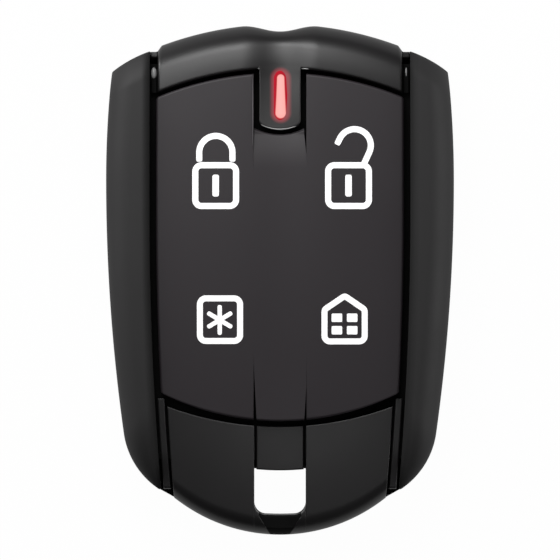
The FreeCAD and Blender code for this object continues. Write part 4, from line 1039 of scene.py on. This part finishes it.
def rounded_corner(x, y, corner_x, corner_y, way):
    """Pulls points near a corner of the plan in to a circle of the corner's radius."""
    cx, cy = corner_x - PAD_CORNER, corner_y - way * PAD_CORNER
    dx, dy = x - cx, (y - cy) * way
    reach = np.maximum(np.hypot(dx, dy), 1e-9)
    scale = np.where((dx > 0) & (dy > 0), np.maximum(dx, dy) / reach, 1.0)
    return cx + dx * scale, cy + way * dy * scale


def follow_key(piece):
    """Bakes a piece's placement into its mesh."""
    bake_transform(piece)


def pad_block(name, x, y, z):
    return block("pad_" + name, x, y, z, PAD_FOOT_Z, PAD)


def key_skin(name, side, way):
    """Skin of one key: two smooth pieces that meet on the diagonal from the key's inner corner.

    The first is the triangle beside the middle line, the second the rest up to the spine and the outer edge.
    Each is a grid of straight runs between a lower and an upper curve; its height is the pad's formula less
    a quarter round at the rim.
    """
    edge, widest_y = (pad_top_y, 8.0) if way > 0 else (pad_bottom_y, -6.0)
    width = pad_side_x(widest_y) - SPINE_HALF
    share_x, share_y = mesh_grid(spread(90), spread(120))
    diagonal = share_x * width

    y = PAD_MIDDLE_Y + way * share_y * diagonal
    x = between(SPINE_HALF, pad_side_x(y), share_x)
    piece = pad_block(name + "_near", side * x, y, pad_height(x, y) - edge_drop(pad_side_x(y) - x, PAD_ROUND))
    follow_key(piece)

    start = PAD_MIDDLE_Y + way * diagonal
    y = between(start, edge(SPINE_HALF + diagonal), share_y)
    x = between(SPINE_HALF, pad_side_x(y), share_x)
    inside = np.minimum(pad_side_x(y) - x, np.abs(edge(x) - y))
    slit = slit_share(y, SPINE_TOP_RUN, SPINE_BOTTOM_RUN)
    inner_round = np.maximum((LOCK_INNER_ROUND if name == "lock" else KEY_INNER_ROUND) * slit, 1e-6)
    drop = np.maximum(edge_drop(inside, PAD_ROUND), edge_drop(x - SPINE_HALF, inner_round))
    corner_x = pad_side_x(edge(SPINE_HALF + width))
    x, y = rounded_corner(x, y, corner_x, edge(corner_x), way)
    piece = pad_block(name + "_far", side * x, y, pad_height(x, y) - drop)
    follow_key(piece)
    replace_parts(piece, "key_" + name)


def spine():
    """Strip between the keys: the pad's height less a step towards its top and plus a rise towards its bottom.

    Both grow as a square.  Towards its ends it also narrows by a slit on each side: a narrow one at the upper
    left, and a wide and long one at the lower left.
    """
    across, along = mesh_grid(spread(60, -1.0, 1.0), spread(220))
    x = across * SPINE_HALF
    y = between(pad_bottom_y(x), spine_top_y(x), along)
    left_width = np.where(y > PAD_MIDDLE_Y, SLIT_WIDTH_TOP_LEFT, SLIT_WIDTH_BOTTOM_LEFT)
    left = left_width * slit_share(y, SLIT_TOP_RUN, SLIT_BOTTOM_LEFT_RUN)
    right = SLIT_WIDTH * slit_share(y, SLIT_TOP_RUN, SLIT_BOTTOM_RUN)
    x = across * (SPINE_HALF - np.where(across < 0, left, right))
    ends = np.minimum(spine_top_y(x) - y, y - pad_bottom_y(x))
    step = np.where(y > 0, SPINE_TOP_STEP, -SPINE_BOTTOM_RISE)
    drop = step * slit_share(y, SPINE_TOP_RUN, SPINE_BOTTOM_RUN) ** 2 + edge_drop(ends, SPINE_END_ROUND)
    piece = pad_block("spine", x, y, pad_height(x, y) - drop)
    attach(piece, "case")
    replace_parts(piece, "keypad_mat")


def rounded_path(corners, radii):
    """Closed path of straight runs with a circular arc at each corner, in pixels."""
    corners = np.array(corners, float)
    path = []
    for i, radius in enumerate(radii):
        here = corners[i]
        a, b = unit(corners[i - 1] - here), unit(corners[(i + 1) % len(corners)] - here)
        half = math.acos(a @ b) / 2
        centre = here + unit(a + b) * radius / math.sin(half)
        reach = radius / math.tan(half)
        first, second = here + a * reach - centre, here + b * reach - centre
        sweep = math.pi - 2 * half
        turn = even(12)[:, None]
        bend = (np.sin((1 - turn) * sweep) * first + np.sin(turn * sweep) * second) / math.sin(sweep)
        path.append(centre + bend)
    return np.vstack(path)


def box_path(left, right, top, bottom, corner):
    return rounded_path([(left, top), (right, top), (right, bottom), (left, bottom)], [corner] * 4)


def lengths_along(path):
    return np.concatenate([[0.0], np.cumsum(np.linalg.norm(np.diff(path, axis=0), axis=1))])


def resampled(path, step, closed):
    """The same path with its points a step apart."""
    if closed:
        path = np.vstack([path, path[:1]])
    lengths = lengths_along(path)
    places = even(max(int(lengths[-1] / step), 8) + 1, 0.0, lengths[-1])
    if closed:
        places = places[:-1]
    return stacked(*(np.interp(places, lengths, path[:, k]) for k in (0, 1)))


def ink(name, plan, closed, lift=INK_LIFT):
    """Sheet of ink just over the pad's face, from a grid of pixel positions."""
    x, y = (plan[..., 0] - PIXEL_X) * PIXEL, (PIXEL_Y - plan[..., 1]) * PIXEL
    points = stacked(x, y, pad_height(x, y) + lift)
    quads = grid_quads(grid_index(points, close_rows=closed))
    first, second, third = (points.reshape(-1, 3)[quads[:, k]] for k in (0, 1, 2))
    if np.cross(second - first, third - first)[:, 2].sum() < 0:
        quads = quads[:, ::-1]
    follow_key(add_piece(name, points.reshape(-1, 3), quads, INK))


def stroke(name, path, width, closed, lift=INK_LIFT, soft=1.0):
    """Ribbon along a path: the path plus its side direction times the share across, with round open ends."""
    path = resampled(path, 0.6 if closed else 0.3, closed)
    along = np.roll(path, -1, axis=0) - np.roll(path, 1, axis=0) if closed else np.gradient(path, axis=0)
    along = unit(along)
    across = stacked(-along[:, 1], along[:, 0])
    shares = even(5, -0.5, 0.5)
    if not closed:
        place = lengths_along(path)
        near = limited(1 - np.minimum(place, place[-1] - place) / (width / 2))
        width = width * np.maximum(np.sqrt(1 - near ** 2), 0.05)[:, None, None] ** soft
    ink(name, path[:, None] + across[:, None] * shares[None, :, None] * width, closed, lift)


def patch(name, left, right, top, bottom, corner):
    """Filled rounded rectangle: rings from its outline in to its middle."""
    outline = box_path(left, right, top, bottom, corner)
    centre = np.array([(left + right) / 2, (top + bottom) / 2])
    shares = np.array([1.0, 0.6, 0.02])
    ink(name, centre + (outline - centre)[:, None] * shares[None, :, None], True)


def arc_path(centre, radius, start, end):
    angles = np.radians(even(50, start, end))
    return stacked(centre[0] + radius * np.cos(angles), centre[1] - radius * np.sin(angles))


def padlock(name, left, shackle):
    body, right, half = "key_" + name, left + PADLOCK_WIDTH, STROKE / 2
    box = box_path(left + half, right - half, PADLOCK_TOP + half, PADLOCK_BOTTOM - half, PADLOCK_CORNER)
    stroke("sign_" + name + "_body", box, STROKE, True)
    stroke("sign_" + name + "_shackle", shackle, STROKE, False, soft=0.3)
    middle = (left + right) / 2
    patch("sign_" + name + "_keyhole", middle - KEYHOLE_HALF, middle + KEYHOLE_HALF, KEYHOLE_TOP,
          KEYHOLE_BOTTOM, 2.0)


def signs():
    """Generic pictograms: closed padlock, open padlock, star in a box, house with a window."""
    arc = arc_path(CLOSED_CENTRE, CLOSED_RADIUS, 180, 0)
    padlock("lock", CLOSED_LEFT, np.vstack([CLOSED_FEET[:1], arc, CLOSED_FEET[1:]]))
    arc = arc_path(OPEN_CENTRE, OPEN_RADIUS, 156, -25)
    padlock("unlock", OPEN_LEFT, np.vstack([OPEN_ENDS[:1], arc, OPEN_ENDS[1:]]))

    stroke("sign_star_box", box_path(*STAR_BOX, 6.0), THIN_STROKE, True)
    middle = np.array(STAR_MIDDLE)
    for i, (angle, reach) in enumerate(((90.0, 15.0), (31.0, 14.4), (-31.0, 14.4))):
        turn = math.radians(angle)
        way = np.array([math.cos(turn), -math.sin(turn)]) * reach
        stroke("sign_star_arm_%d" % i, np.stack([middle - way, middle + way]), STAR_STROKE, False,
               INK_LIFT + 0.004 * i, 0.7)

    walls = [(HOUSE_LEFT, HOUSE_EAVES), HOUSE_ROOF, (HOUSE_RIGHT, HOUSE_EAVES), (HOUSE_RIGHT, HOUSE_BOTTOM),
             (HOUSE_LEFT, HOUSE_BOTTOM)]
    stroke("sign_home_walls", rounded_path(walls, [4.0, 3.0, 4.0, 5.5, 5.5]), THIN_STROKE, True)
    for i in range(4):
        x, y = PANE_LEFTS[i % 2], PANE_TOPS[i // 2]
        patch("sign_home_pane_%d" % i, x, x + PANE_WIDTH, y, y + PANE_HEIGHT, 1.2)


dress_nodes()
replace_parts(arch(), "front_cover")
chin()
bar()
channel()
island()
painted_highlights()
grooves()
deck()
rail()
merged_copy("rear_cover", "case_rear")
rear_roll()
merged_copy("case_screw", "screw")
window()
for key in (("lock", -1, 1), ("unlock", 1, 1), ("star", -1, -1), ("home", 1, -1)):
    key_skin(*key)
spine()
signs()


def floor_material():
    """White sheet: keeps the shadow for the camera, is dimmer in reflections and lights nearly nothing."""
    material, n, out = new_material("Floor")
    path = n.add("ShaderNodeLightPath")
    sheet = n.add("ShaderNodeBsdfDiffuse", Color=(0.9, 0.9, 0.9, 1.0))
    bright = n.add("ShaderNodeEmission", Color=(1.0, 1.0, 1.0, 1.0))
    seen = n.placed("ShaderNodeMixShader", {},
                    {0: 0.98, 1: sheet.outputs["BSDF"], 2: bright.outputs["Emission"]})
    dim = n.add("ShaderNodeEmission", Color=(0.02, 0.02, 0.02, 1.0))
    mirrored = n.math("MULTIPLY", path.outputs["Is Glossy Ray"], MIRRORED_FLOOR)
    shown = n.math("MAXIMUM", path.outputs["Is Camera Ray"], mirrored)
    shown = n.math("MAXIMUM", shown, path.outputs["Is Transmission Ray"])
    choose = n.placed("ShaderNodeMixShader", {},
                      {0: shown, 1: dim.outputs["Emission"], 2: seen.outputs["Shader"]})
    n.join(out.inputs["Surface"], choose.outputs["Shader"])
    return material


bpy.ops.mesh.primitive_plane_add(size=4.0, location=(0, 0, -0.00002))
floor = bpy.context.object
floor.name = "floor"
floor.data.materials.append(floor_material())


def soft_light(name, place, size, power):
    """Rectangular lamp that faces the middle of the case."""
    lamp = bpy.data.lights.new(name, "AREA")
    lamp.shape = "RECTANGLE"
    lamp.size, lamp.size_y = size
    lamp.energy = power
    holder = new_object(name, lamp)
    holder.location = place
    holder.rotation_euler = (Vector((0, 0, 0.01)) - Vector(place)).to_track_quat("-Z", "Y").to_euler()


LAMPS = (
    ("Key", (-0.26, 0.24, 0.20), (0.16, 0.16), 0.45),
    ("Back", (-0.05, 0.26, 0.26), (0.14, 0.10), 0.46),
    ("Back high", (-0.03, 0.20, 0.33), (0.20, 0.10), 0.26),
    ("High", (-0.10, 0.10, 0.38), (0.12, 0.12), 0.13),
    ("Left strip", (-0.28, 0.15, 0.08), (0.26, 0.08), 0.5),
    ("Right strip", (0.30, 0.02, 0.11), (0.30, 0.14), 0.52),
    ("Front", (0.02, -0.08, 0.40), (0.08, 0.08), 0.065),
)
for row in LAMPS:
    soft_light(*row)

world = bpy.data.worlds.new("Studio")
world.use_nodes = True
background = world.node_tree.nodes["Background"]
background.inputs["Color"].default_value = (0.6, 0.6, 0.6, 1.0)
background.inputs["Strength"].default_value = 0.02
scene.world = world

camera = new_object("Camera", bpy.data.cameras.new("Camera"))
camera.data.lens = 540.5
camera.data.sensor_width = 36.0
camera.location = (0.0, 0.00006, 1.0)
camera.data.clip_start = 0.01
bpy.context.scene.camera = camera
bpy.context.scene.view_settings.view_transform = "Standard"
